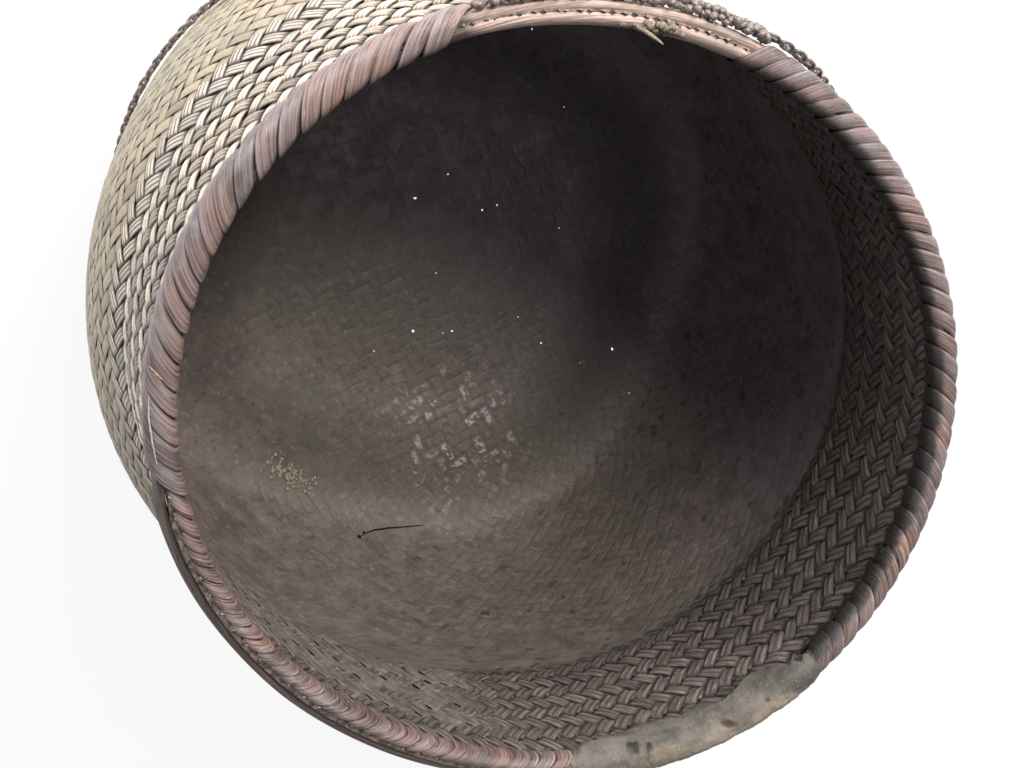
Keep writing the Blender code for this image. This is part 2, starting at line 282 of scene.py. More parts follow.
def take(piece):
    """Select one piece alone, so that the next operator works on it."""
    drop_selection()
    piece.select_set(True)
    bpy.context.view_layer.objects.active = piece


def mark(mesh, name, values):
    """Give each point of a mesh a number or a vector, under a name that its material reads."""
    values = np.asarray(values, np.float32)
    kind, slot = ("FLOAT_VECTOR", "vector") if values.ndim == 2 else ("FLOAT", "value")
    mesh.attributes.new(name, kind, "POINT").data.foreach_set(slot, values.ravel())


def spread(shape, *values):
    """Repeat values over a grid of points, as a list of numbers or, of several values, of vectors."""
    parts = [np.broadcast_to(value, shape).reshape(-1) for value in values]
    return parts[0] if len(parts) == 1 else np.stack(parts, axis=-1)


def mesh_piece(name, points, faces, attributes=None):
    """A piece from arrays of points and faces with the same number of corners, and values at its points."""
    mesh = bpy.data.meshes.new(name)
    points = np.asarray(points, np.float32).reshape(-1, 3)
    faces = np.asarray(faces, np.int32)
    corners = faces.shape[1]
    mesh.vertices.add(len(points))
    mesh.vertices.foreach_set("co", points.ravel())
    mesh.loops.add(faces.size)
    mesh.loops.foreach_set("vertex_index", faces.ravel())
    mesh.polygons.add(len(faces))
    mesh.polygons.foreach_set("loop_start", np.arange(0, faces.size, corners, dtype=np.int32))
    mesh.polygons.foreach_set("loop_total", np.full(len(faces), corners, np.int32))
    mesh.update(calc_edges=True)
    for attribute, values in (attributes or {}).items():
        mark(mesh, attribute, values)
    mesh.validate()
    mesh.shade_smooth()
    piece = bpy.data.objects.new(name, mesh)
    bpy.context.scene.collection.objects.link(piece)
    return piece


def tube_faces(count, rows, around, flip, closed_rows=False):
    """Faces of tubes, each of rows of points around it, with caps of four corners at both ends."""
    tube = np.arange(count)[:, None, None] * rows * around
    row = np.arange(rows if closed_rows else rows - 1)[None, :, None]
    place = np.arange(around)[None, None, :]
    row_after = (row + 1) % rows
    place_after = (place + 1) % around
    a = tube + row * around + place
    b = tube + row * around + place_after
    c = tube + row_after * around + place_after
    d = tube + row_after * around + place
    faces = np.stack((a, b, c, d) if not flip else (a, d, c, b), axis=-1).reshape(-1, 4)
    if closed_rows:
        return faces
    caps = []
    half = around // 2
    for at_row, turned in ((0, not flip), (rows - 1, flip)):
        start = np.arange(count) * rows * around + at_row * around
        for place in range(half - 1):
            cap = [start + place, start + place + 1, start + around - 2 - place, start + around - 1 - place]
            caps.append(np.stack(cap if not turned else cap[::-1], axis=-1))
    return np.concatenate([faces] + caps)


def settle(piece, material, nodes=()):
    """Give a finished piece its material and the body that carries it, and hide the imported parts it stands
    in for.
    """
    piece.data.materials.clear()
    piece.data.materials.append(material)
    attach(piece, "root")
    if nodes:
        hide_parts(*nodes)
    return piece


def face_outwards(piece, close=False):
    """Turn the faces of a piece outwards, after closing its open edges where that is asked."""
    take(piece)
    bpy.ops.object.mode_set(mode="EDIT")
    if close:
        bpy.ops.mesh.select_all(action="DESELECT")
        bpy.ops.mesh.select_non_manifold()
        bpy.ops.mesh.edge_face_add()
    bpy.ops.mesh.select_all(action="SELECT")
    bpy.ops.mesh.normals_make_consistent(inside=False)
    bpy.ops.object.mode_set(mode="OBJECT")


def crease(piece, degrees):
    """Keep corners crisp on a smooth piece."""
    take(piece)
    bpy.ops.object.shade_smooth_by_angle(angle=math.radians(degrees), keep_sharp_edges=False)
    piece.select_set(False)


def spun_ring(name, section, steps):
    """Spin a section of mean radius and drop round the mouth into a round ring."""
    drop_selection()
    bpy.ops.mesh.primitive_circle_add(vertices=len(section), radius=MM)
    ring = bpy.context.object
    ring.name = name
    for corner, (radius, drop) in zip(ring.data.vertices, section):
        corner.co = (radius, 0.0, -drop)
    bpy.ops.object.mode_set(mode="EDIT")
    bpy.ops.mesh.select_all(action="SELECT")
    bpy.ops.mesh.spin(steps=steps, angle=2 * math.pi, center=(0, 0, 0), axis=(0, 0, 1))
    bpy.ops.mesh.select_all(action="SELECT")
    bpy.ops.mesh.remove_doubles(threshold=0.02 * MM)
    bpy.ops.mesh.normals_make_consistent(inside=False)
    bpy.ops.object.mode_set(mode="OBJECT")
    ring.select_set(False)
    return ring


def mesh_points(piece):
    """The points of a piece as an array."""
    points = np.empty(len(piece.data.vertices) * 3)
    piece.data.vertices.foreach_get("co", points)
    return points.reshape(-1, 3)


def pattern(piece):
    """The points and faces of a start that is taken away, so that copies of it can be joined in one mesh."""
    points = mesh_points(piece)
    faces = np.array([list(face.vertices) for face in piece.data.polygons])
    bpy.data.objects.remove(piece, do_unlink=True)
    return points, faces


def ball(subdivisions):
    """The points and faces of a small ball of radius 1."""
    drop_selection()
    bpy.ops.mesh.primitive_ico_sphere_add(subdivisions=subdivisions, radius=1.0)
    return pattern(bpy.context.object)


def set_points(piece, points):
    """Move the points of a piece."""
    piece.data.vertices.foreach_set("co", np.asarray(points, np.float32).ravel())
    piece.data.update()


def noise_at(points, size, seed):
    """Soft noise from -1 to 1 at each point, with lumps of about a size."""
    shift = Vector((seed * 7.31, seed * 3.17, seed * 5.73))
    return np.array([noise.noise(Vector(point) / size + shift) for point in points])


# Finishes

class Finish:
    """A material being built, with short ways to add its nodes."""

    def __init__(self, name, roughness=0.6, specular=0.4):
        self.material = bpy.data.materials.new(name)
        self.material.use_nodes = True
        self.tree = self.material.node_tree
        self.shader = self.tree.nodes["Principled BSDF"]
        self.shader.inputs["Roughness"].default_value = roughness
        self.shader.inputs["Specular IOR Level"].default_value = specular

    def node(self, kind, **settings):
        """Add a node."""
        made = self.tree.nodes.new(kind)
        for key, value in settings.items():
            setattr(made, key, value)
        return made

    def feed(self, socket, value):
        """Link a socket to another, or set its value."""
        if isinstance(value, bpy.types.NodeSocket):
            self.tree.links.new(value, socket)
        elif isinstance(value, (tuple, list)) or hasattr(value, "r"):
            has_alpha = len(socket.default_value) == 4
            socket.default_value = tuple(value)[:3] + (1.0,) if has_alpha else tuple(value)
        else:
            socket.default_value = value

    def place(self):
        """Where a point lies on the object."""
        return self.node("ShaderNodeTexCoord").outputs["Object"]

    def value(self, name):
        """An attribute of the piece as a number."""
        return self.node("ShaderNodeAttribute", attribute_name=name).outputs["Fac"]

    def vector(self, name):
        """An attribute of the piece as a vector."""
        return self.node("ShaderNodeAttribute", attribute_name=name).outputs["Vector"]

    def stretch(self, vector, scale):
        """Scale a place along its axes."""
        made = self.node("ShaderNodeVectorMath", operation="MULTIPLY")
        self.feed(made.inputs[0], vector)
        made.inputs[1].default_value = scale
        return made.outputs["Vector"]

    def round_place(self, along, across):
        """A place counted round the mouth, outwards and up, for grain that runs round a hoop."""
        split = self.node("ShaderNodeSeparateXYZ")
        self.feed(split.inputs[0], self.place())
        turn = self.math("ARCTAN2", split.outputs["Y"], split.outputs["X"])
        squares = [self.math("POWER", split.outputs[axis], 2.0) for axis in "XY"]
        reach = self.math("SQRT", self.plus(*squares), 0.0)
        made = self.node("ShaderNodeCombineXYZ")
        self.feed(made.inputs[0], self.times(turn, along))
        self.feed(made.inputs[1], self.times(reach, across))
        self.feed(made.inputs[2], self.times(split.outputs["Z"], across))
        return made.outputs["Vector"]

    def noise(self, vector, scale=1.0, detail=2.0, rough=0.5):
        """Noise from 0 to 1."""
        made = self.node("ShaderNodeTexNoise")
        self.feed(made.inputs["Vector"], vector)
        made.inputs["Scale"].default_value = scale
        made.inputs["Detail"].default_value = detail
        made.inputs["Roughness"].default_value = rough
        return made.outputs["Fac"]

    def math(self, operation, first, second=0.0, clamp=False):
        """Work out a number."""
        made = self.node("ShaderNodeMath", operation=operation, use_clamp=clamp)
        self.feed(made.inputs[0], first)
        self.feed(made.inputs[1], second)
        return made.outputs[0]

    def times(self, first, second):
        """Multiply two numbers."""
        return self.math("MULTIPLY", first, second)

    def plus(self, first, second):
        """Add two numbers."""
        return self.math("ADD", first, second)

    def minus(self, first, second):
        """Take the second number from the first."""
        return self.math("SUBTRACT", first, second)

    def larger(self, first, second):
        """The larger of two numbers."""
        return self.math("MAXIMUM", first, second)

    def between(self, value, low, high, start=0.0, end=1.0):
        """Map a range onto another, and stop at its ends."""
        made = self.node("ShaderNodeMapRange", interpolation_type="SMOOTHSTEP")
        self.feed(made.inputs["Value"], value)
        for name, number in (("From Min", low), ("From Max", high), ("To Min", start), ("To Max", end)):
            made.inputs[name].default_value = number
        return made.outputs["Result"]

    def mix(self, share, first, second, blend="MIX"):
        """Mix two colours."""
        made = self.node("ShaderNodeMix", data_type="RGBA", blend_type=blend)
        self.feed(made.inputs["Factor"], share)
        self.feed(made.inputs[6], first)
        self.feed(made.inputs[7], second)
        return made.outputs[2]

    def layers(self, colour, *covers):
        """Lay covers on a colour: each has a mask, its low and high level, the share at both and a colour."""
        for mask, low, high, start, end, cover in covers:
            colour = self.mix(self.between(mask, low, high, start, end), colour, cover)
        return colour

    def filtered(self, colour, share_of_each):
        """A colour with its red, green and blue each multiplied by a share."""
        return self.mix(1.0, colour, share_of_each, "MULTIPLY")

    def bump(self, height, strength, distance, before=None):
        """Relief from a height, over the relief before it where there is one."""
        made = self.node("ShaderNodeBump")
        made.inputs["Strength"].default_value = strength
        made.inputs["Distance"].default_value = distance
        self.feed(made.inputs["Height"], height)
        if before:
            self.feed(made.inputs["Normal"], before)
        return made.outputs["Normal"]

    def show_white(self, share):
        """Let the camera see the surface partly as plain white, with a soft part of a shadow left."""
        white = self.node("ShaderNodeEmission")
        white.inputs["Strength"].default_value = 1.0
        seen = self.times(self.node("ShaderNodeLightPath").outputs["Is Camera Ray"], share)
        mixed = self.node("ShaderNodeMixShader")
        self.feed(mixed.inputs[0], seen)
        self.feed(mixed.inputs[1], self.shader.outputs[0])
        self.feed(mixed.inputs[2], white.outputs[0])
        self.feed(self.tree.nodes["Material Output"].inputs["Surface"], mixed.outputs[0])

    def done(self, colour, roughness=None, normal=None):
        """Link the results to the shader."""
        self.feed(self.shader.inputs["Base Color"], colour)
        if roughness is not None:
            self.feed(self.shader.inputs["Roughness"], roughness)
        if normal is not None:
            self.feed(self.shader.inputs["Normal"], normal)
        return self.material


def shade(colour, factor):
    """A colour made lighter or darker."""
    return tuple(min(part * factor, 1.0) for part in colour[:3])


def plaited_cane(name, tint_of_all, dive, gap_shade_start, gap_shade_strength, ripple):
    """Strips: rubbed pale on their crests outside with a painted highlight there, brown with fibre streaks
    inside, and painted shade in their gaps.
    """
    colours = bpy.context.scene.basket_finish
    made = Finish(name, specular=0.35)
    lay = made.vector("lay")
    streak = made.noise(made.stretch(lay, (90.0, 3600.0, 17.0)), detail=3.0, rough=0.6)
    fine = made.noise(made.stretch(lay, (260.0, 9000.0, 31.0)), detail=2.0)
    patch = made.noise(made.place(), scale=26.0, detail=4.0, rough=0.6)
    grain = made.noise(made.place(), scale=900.0, detail=3.0)
    tone = made.value("tone")
    crest = made.value("crest")
    edge = made.value("edge")
    side = made.value("side")
    # Rubbed wear and a painted highlight: a strip is paler where it rises outwards over the others.
    worn_and_highlit = made.plus(made.times(streak, 0.60), made.times(tone, 0.40))
    worn_and_highlit = made.times(worn_and_highlit, made.between(crest, 0.15, 0.95, 0.50, 1.16))
    outside = made.mix(made.between(worn_and_highlit, 0.24, 0.66), colours.strip_dull, colours.strip_pale)
    tint = made.mix(made.between(patch, 0.35, 0.7), (0.88, 0.89, 0.86), (1.06, 1.0, 0.90))
    outside = made.filtered(made.filtered(outside, tint), tint_of_all)
    # Painted shade, with some dirt: outside, the strips are painted near black where they dive under others
    # and along their edges.
    dirt = made.times(made.between(crest, 0.05, dive, 1.0, 0.0), gap_shade_strength)
    strip_edge_shade = made.times(made.between(edge, gap_shade_start, 1.0), gap_shade_strength)
    outside = made.mix(made.larger(dirt, strip_edge_shade), outside, (0.026, 0.022, 0.020))
    inner = colours.strip_inside
    brown = made.mix(made.between(streak, 0.34, 0.68), shade(inner, 0.30), shade(inner, 1.5))
    brown = made.layers(
        brown,
        (tone, 0.25, 0.70, 0.60, 0.0, shade(inner, 0.22)),
        (fine, 0.58, 0.72, 0.0, 0.85, shade(inner, 3.1)),
        (patch, 0.40, 0.65, 0.0, 0.5, shade(colours.grime, 0.8)),
    )
    # Painted shade: inside, the strips are painted near black where they dive under others and along their
    # edges.
    dive_inside = made.between(crest, 0.05, 0.7, 0.95, 0.0)
    low = made.larger(dive_inside, made.between(edge, 0.50, 1.0, 0.0, 0.92))
    brown = made.mix(low, brown, (0.010, 0.008, 0.007))
    colour = made.mix(side, brown, outside)
    colour = made.mix(made.between(grain, 0.35, 0.7, 0.0, 0.22), colour, (0.05, 0.042, 0.035))
    relief = made.plus(made.times(streak, 0.7), made.times(fine, 0.45))
    rough = made.between(streak, 0.3, 0.75, 0.46, 0.74)
    return made.done(colour, rough, made.bump(relief, 0.9, ripple))


def twill_relief(made):
    """Height of the plaiting under the coat, a number for each float, and slits where some floats end."""
    wobble = made.noise(made.place(), scale=150.0, detail=2.0)
    counts = made.node("ShaderNodeSeparateXYZ")
    made.feed(counts.inputs[0], made.node("ShaderNodeUVMap", uv_map="plaiting").outputs["UV"])
    shift = made.times(made.minus(wobble, 0.5), 0.9)
    first = made.plus(counts.outputs["X"], shift)
    second = made.minus(counts.outputs["Y"], shift)
    heights, numbers, slits = [], [], []
    for own, other, lean in ((first, second, 1.0), (second, first, -1.0)):
        middle = made.math("ROUND", own)
        crossing = made.times(made.minus(other, middle), lean)
        wave = made.math("COSINE", made.times(made.minus(crossing, 0.5), math.pi / 2))
        swell = made.between(made.times(wave, -lean), -0.55, 0.55, -1.0, 1.0)
        across = made.times(made.math("ABSOLUTE", made.minus(own, middle)), 2.0)
        heights.append(made.plus(swell, made.between(across, 0.45, 1.0, 0.6, -0.3)))
        end = made.between(made.math("ABSOLUTE", wave), 0.16, 0.40, 1.0, 0.0)
        for step in (0.5, 1.5):
            number = made.node("ShaderNodeCombineXYZ")
            float_of_strip = made.math("FLOOR", made.times(made.plus(crossing, step), 0.5))
            for socket, part in enumerate((middle, float_of_strip, 3.0 + lean + step)):
                made.feed(number.inputs[socket], part)
            numbers.append(number.outputs[0])
        luck = made.node("ShaderNodeTexWhiteNoise", noise_dimensions="3D")
        made.feed(luck.inputs["Vector"], numbers[-1])
        end = made.times(end, made.between(across, 0.45, 0.8, 1.0, 0.0))
        slits.append(made.times(end, made.between(luck.outputs["Value"], 0.34, 0.42)))
    upper = made.math("GREATER_THAN", heights[0], heights[1])
    height = made.larger(made.larger(heights[0], heights[1]), 0.45)
    chosen = made.node("ShaderNodeMix", data_type="VECTOR")
    made.feed(chosen.inputs["Factor"], upper)
    made.feed(chosen.inputs[4], numbers[2])
    made.feed(chosen.inputs[5], numbers[0])
    chance = made.node("ShaderNodeTexWhiteNoise", noise_dimensions="3D")
    made.feed(chance.inputs["Vector"], chosen.outputs[1])
    return height, chance.outputs["Value"], slits[0]


def belly_grime():
    """Coat that fills the plaiting inside: brown, greasy and dusted in places, with the twill under it, and
    painted light and shade.
    """
    grime = bpy.context.scene.basket_finish.grime
    made = Finish("belly_grime", specular=0.5)
    place = made.place()
    broad = made.noise(place, scale=16.0, detail=4.0, rough=0.6)
    middle = made.noise(place, scale=120.0, detail=4.0, rough=0.65)
    small = made.noise(place, scale=420.0, detail=3.0, rough=0.7)
    fine = made.noise(place, scale=1500.0, detail=5.0, rough=0.75)
    side = made.value("side")
    glint = made.value("glint")
    slots = made.value("slots")
    height, chance, slit = twill_relief(made)
    colour = made.mix(made.between(middle, 0.3, 0.7), shade(grime, 0.66), shade(grime, 1.15))
    colour = made.layers(
        colour,
        (broad, 0.42, 0.66, 0.0, 0.55, (0.145, 0.125, 0.10)),
        (chance, 0.4, 1.0, 0.0, 0.14, shade(grime, 1.7)),
    )
    bare = made.larger(glint, slots)
    bare = made.larger(made.between(broad, 0.40, 0.60, 0.10, 0.55), bare)
    # Painted shade, with some dirt: the grooves of the twill under the coat are painted dark where its relief
    # shows.
    groove = made.times(made.between(height, 0.4, 1.0, 0.45, 0.0), bare)
    dirt = made.times(groove, made.between(small, 0.35, 0.6, 0.2, 1.0))
    colour = made.mix(dirt, colour, (0.032, 0.027, 0.025))
    colour = made.layers(
        colour,
        (small, 0.54, 0.72, 0.0, 0.75, shade(grime, 1.7)),
        (small, 0.28, 0.44, 0.75, 0.0, shade(grime, 0.4)),
        (fine, 0.58, 0.74, 0.0, 0.6, (0.24, 0.21, 0.18)),
        (fine, 0.28, 0.44, 0.65, 0.0, (0.03, 0.025, 0.022)),
    )
    # Painted highlight: pale flecks on some crests round the glint spot, where the coat is also less rough.
    painted_shine = made.times(glint, made.between(chance, 0.38, 0.75))
    painted_shine = made.times(painted_shine, made.between(small, 0.50, 0.56))
    painted_shine = made.times(painted_shine, made.between(height, 1.25, 1.6))
    colour = made.mix(painted_shine, colour, (0.46, 0.43, 0.42))
    # Painted shade: the slits in the neck patch are painted near black and lose their gloss, as do the
    # grooves.
    hole_shade = made.times(slots, slit)
    colour = made.mix(hole_shade, colour, (0.004, 0.003, 0.003))
    gloss = made.between(made.larger(hole_shade, groove), 0.0, 0.8, 0.5, 0.0)
    made.feed(made.shader.inputs["Specular IOR Level"], gloss)
    # Painted light and shade: a lighter bluish tint on the shaded side, painted shade over the corner of the
    # base, and dust with painted light on the lower wall.
    for cover, share_of_each in (("soot_and_shade", (1.12, 1.08, 1.32)), ("settled_and_shaded", (0.70, 0.70, 0.71)),
                                 ("dust_and_light", (1.36, 1.33, 1.34))):
        colour = made.mix(made.value(cover), colour, made.filtered(colour, share_of_each))
    # Painted shade: the outer face of the core, seen through the gaps between strips, is painted near black.
    colour = made.mix(side, colour, (0.012, 0.010, 0.009))
    rough = made.between(middle, 0.35, 0.65, 0.46, 0.72)
    rough = made.plus(rough, made.times(made.value("settled_and_shaded"), 0.25))
    rough = made.math("SUBTRACT", rough, made.times(painted_shine, 0.3), clamp=True)
    twill = made.bump(made.times(height, bare), 0.55, 0.00055)
    relief = made.plus(made.times(middle, 1.0), made.times(small, 0.5))
    return made.done(colour, rough, made.bump(relief, 0.7, 0.0006, twill))


def bound_strip(name, main, rubbed, gloss):
    """Binding strip: long fibre streaks, scratches with painted highlights, copper where it is rubbed,
    painted shade at its seams, and smoke black with painted shade on its inner side.
    """
    made = Finish(name, specular=0.5)
    lay = made.vector("lay")
    streak = made.noise(made.stretch(lay, (60.0, 2300.0, 13.0)), detail=4.0, rough=0.65)
    fine = made.noise(made.stretch(lay, (150.0, 7600.0, 29.0)), detail=2.0)
    patch = made.noise(made.place(), scale=110.0, detail=4.0, rough=0.65)
    tone = made.value("tone")
    edge = made.value("edge")
    stained = [part * share for part, share in zip(main, (0.46, 0.48, 0.54))]
    clean = [part * share for part, share in zip(main, (1.7, 1.40, 1.26))]
    base = made.mix(tone, stained, clean)
    base = made.layers(
        base,
        (streak, 0.38, 0.57, 0.94, 0.0, shade(main, 0.24)),
        (streak, 0.54, 0.72, 0.0, 0.7, shade(main, 2.1)),
        (patch, 0.46, 0.66, 0.0, 0.5, (0.17, 0.155, 0.165)),
    )
    copper = made.mix(made.between(streak, 0.36, 0.62), shade(rubbed, 0.45), shade(rubbed, 1.2))
    share = made.times(made.value("rub"), made.between(patch, 0.36, 0.58, 1.0, 0.2))
    colour = made.mix(share, base, copper)
    # Pale scratches, which also stand as painted highlights along the strip.
    scratch_and_highlight = made.times(made.between(fine, 0.60, 0.74), made.between(patch, 0.46, 0.60))
    colour = made.mix(made.times(scratch_and_highlight, 0.8), colour, (0.60, 0.54, 0.51))
    lip = made.times(made.value("lip"), made.between(patch, 0.40, 0.60))
    colour = made.mix(lip, colour, (0.50, 0.38, 0.33))
    # Painted shade: each turn is painted near black along its edges, in the seams between turns.
    seam_shade = made.times(made.between(edge, 0.80, 1.0), 0.85)
    colour = made.mix(seam_shade, colour, (0.018, 0.012, 0.011))
    # Soot and painted shade: the inner side of the binding is painted near black, with a ragged edge.
    ragged = made.times(made.minus(made.plus(patch, streak), 1.0), 0.9)
    soot_and_shade = made.between(made.plus(made.value("soot_and_shade"), ragged), 0.36, 0.82)
    colour = made.mix(soot_and_shade, colour, (0.014, 0.011, 0.010))
    relief = made.plus(made.times(streak, 1.0), made.times(fine, 0.5))
    rough = made.between(streak, 0.3, 0.7, gloss, gloss + 0.25)
    return made.done(colour, rough, made.bump(relief, 0.8, 0.00035))


def bare_cane():
    """Split cane: pink beige where it lies bare, dark brown elsewhere as painted shade under the binding,
    with long fibre streaks and dirt.
    """
    colours = bpy.context.scene.basket_finish
    made = Finish("bare_cane", specular=0.4)
    grain = made.noise(made.round_place(5.0, 1900.0), detail=4.0, rough=0.6)
    fine = made.noise(made.round_place(14.0, 5200.0), detail=2.0)
    patch = made.noise(made.place(), scale=85.0, detail=4.0, rough=0.6)
    colour = made.mix(made.between(grain, 0.36, 0.62), shade(colours.cane, 0.50), colours.cane)
    colour = made.layers(
        colour,
        (fine, 0.55, 0.72, 0.0, 0.7, shade(colours.cane, 1.4)),
        (fine, 0.30, 0.44, 0.6, 0.0, (0.10, 0.07, 0.06)),
        (patch, 0.46, 0.66, 0.0, 0.6, (0.26, 0.225, 0.185)),
    )
    # Painted shade: a hoop is dark brown where it is not bare, for the shade under the binding; the sprung
    # outer hoop shares it.
    dark = made.mix(made.between(grain, 0.35, 0.65), (0.028, 0.020, 0.017), (0.085, 0.062, 0.054))
    colour = made.mix(made.value("bare"), dark, colour)
    rough = made.between(patch, 0.3, 0.7, 0.45, 0.7)
    relief = made.plus(grain, made.times(fine, 0.4))
    return made.done(colour, rough, made.bump(relief, 0.8, 0.0004))


def strand_ends():
    """Cut strip ends between the hoops: dry, with dust, and dark with grime and painted shade between them.
    """
    made = Finish("strand_ends", roughness=0.8, specular=0.25)
    ends = made.noise(made.round_place(70.0, 900.0), detail=3.0, rough=0.6)
    dust = made.noise(made.place(), scale=600.0, detail=3.0)
    colour = made.mix(made.between(ends, 0.35, 0.65), (0.030, 0.023, 0.019), (0.17, 0.130, 0.105))
    pale = made.mix(made.between(ends, 0.35, 0.65), (0.12, 0.085, 0.07), (0.42, 0.31, 0.26))
    colour = made.mix(made.value("bare"), colour, pale)
    colour = made.mix(made.between(dust, 0.58, 0.78, 0.0, 0.5), colour, (0.24, 0.205, 0.165))
    return made.done(colour, None, made.bump(ends, 0.8, 0.0005))


def old_pitch():
    """Pitch or mud: dull grey green brown, pitted, with brown and pale crumbs."""
    colours = bpy.context.scene.basket_finish
    made = Finish("old_pitch", specular=0.3)
    place = made.place()
    broad = made.noise(place, scale=75.0, detail=5.0, rough=0.6)
    fine = made.noise(place, scale=900.0, detail=4.0, rough=0.7)
    speck = made.noise(place, scale=2100.0, detail=2.0)
    nick = made.value("nick")
    colour = made.mix(made.between(broad, 0.35, 0.66), shade(colours.pitch, 0.65), shade(colours.pitch, 1.5))
    tan = made.mix(made.between(broad, 0.38, 0.62), (0.15, 0.115, 0.088), (0.27, 0.225, 0.18))
    colour = made.mix(made.value("outer"), colour, tan)
    colour = made.layers(
        colour,
        (fine, 0.55, 0.72, 0.0, 0.55, (0.20, 0.175, 0.14)),
        (fine, 0.30, 0.44, 0.7, 0.0, (0.035, 0.033, 0.030)),
        (speck, 0.68, 0.76, 0.0, 1.0, (0.36, 0.32, 0.26)),
    )
    colour = made.mix(nick, colour, (0.045, 0.027, 0.019))
    colour = made.mix(made.value("lump"), colour, (0.022, 0.020, 0.019))
    relief = made.plus(broad, made.times(fine, 0.35))
    return made.done(colour, made.between(broad, 0.3, 0.7, 0.62, 0.88), made.bump(relief, 0.8, 0.0008))


def bark_cord():
    """Looped cord: dark grey brown fibre, waxy where it is rubbed."""
    colours = bpy.context.scene.basket_finish
    made = Finish("bark_cord", specular=0.6)
    fibre = made.noise(made.place(), scale=1500.0, detail=3.0, rough=0.6)
    patch = made.noise(made.place(), scale=160.0, detail=3.0)
    colour = made.mix(made.between(fibre, 0.35, 0.68), shade(colours.cord, 0.45), shade(colours.cord, 1.9))
    colour = made.mix(made.between(patch, 0.45, 0.7, 0.0, 0.5), colour, (0.17, 0.125, 0.11))
    return made.done(colour, made.between(fibre, 0.3, 0.7, 0.24, 0.55), made.bump(fibre, 0.6, 0.0003))


def crumbs(name, colour, roughness):
    """Loose bits: a plain colour broken up by fine noise."""
    made = Finish(name, roughness=roughness, specular=0.3)
    fine = made.noise(made.place(), scale=1800.0, detail=3.0)
    mixed = made.mix(made.between(fine, 0.3, 0.7), shade(colour, 0.6), shade(colour, 1.25))
    return made.done(mixed, None, made.bump(fine, 0.5, 0.0002))


# Plaiting

def arch(crossing, flat):
    """Height of a strip from -1 to 1 along its crossings: two over, two under, with flattened tops."""
    wave = np.cos((crossing - 0.5) * np.pi / 2)
    return wave * np.sqrt(1 + flat ** 2) / np.sqrt(wave ** 2 + flat ** 2)


# Sections of a strip, from its outer side round to its inner one, each with five values: the place across
# it, the side of its middle, the crown in millimetres, the ridge, and how near it lies to a valley
FLAT_SECTION = (
    (-1, 0, 0, 0, 1), (-0.62, 0.5, 0.05, 0, 0.62), (0.62, 0.5, 0.05, 0, 0.62),
    (1, 0, 0, 0, 1), (0.62, -0.5, -0.05, 0, 0.62), (-0.62, -0.5, -0.05, 0, 0.62),
)
RIDGED_SECTION = (
    (-1, 0.5, -0.20, -0.9, 1), (-0.66, 0.5, 0.02, 0.8, 0.35), (-0.34, 0.5, 0.03, -0.8, 0.92),
    (0, 0.5, 0.06, 1.1, 0.25), (0.34, 0.5, 0.03, -0.8, 0.92), (0.66, 0.5, 0.02, 0.8, 0.35),
    (1, 0.5, -0.20, -0.9, 1), (1, -0.5, 0.12, 0.9, 1), (0.55, -0.5, -0.02, -0.8, 0.35),
    (0, -0.5, -0.03, 0.7, 0.85), (-0.55, -0.5, -0.02, -0.8, 0.35), (-1, -0.5, 0.12, 0.9, 1),
)


def section_rows(section):
    """The values of a section as arrays, with the crown in metres."""
    across, sides, crown, ridges, valleys = np.array(section).T
    return across, sides, crown * MM, ridges, valleys


def crest_of(height, outer):
    """How far a strip shows: on its outer side where it rises, on its inner one where it dives."""
    high, low = np.clip(height, 0, 1)[:, None], np.clip(-height, 0, 1)[:, None]
    return np.where(outer, high, low)


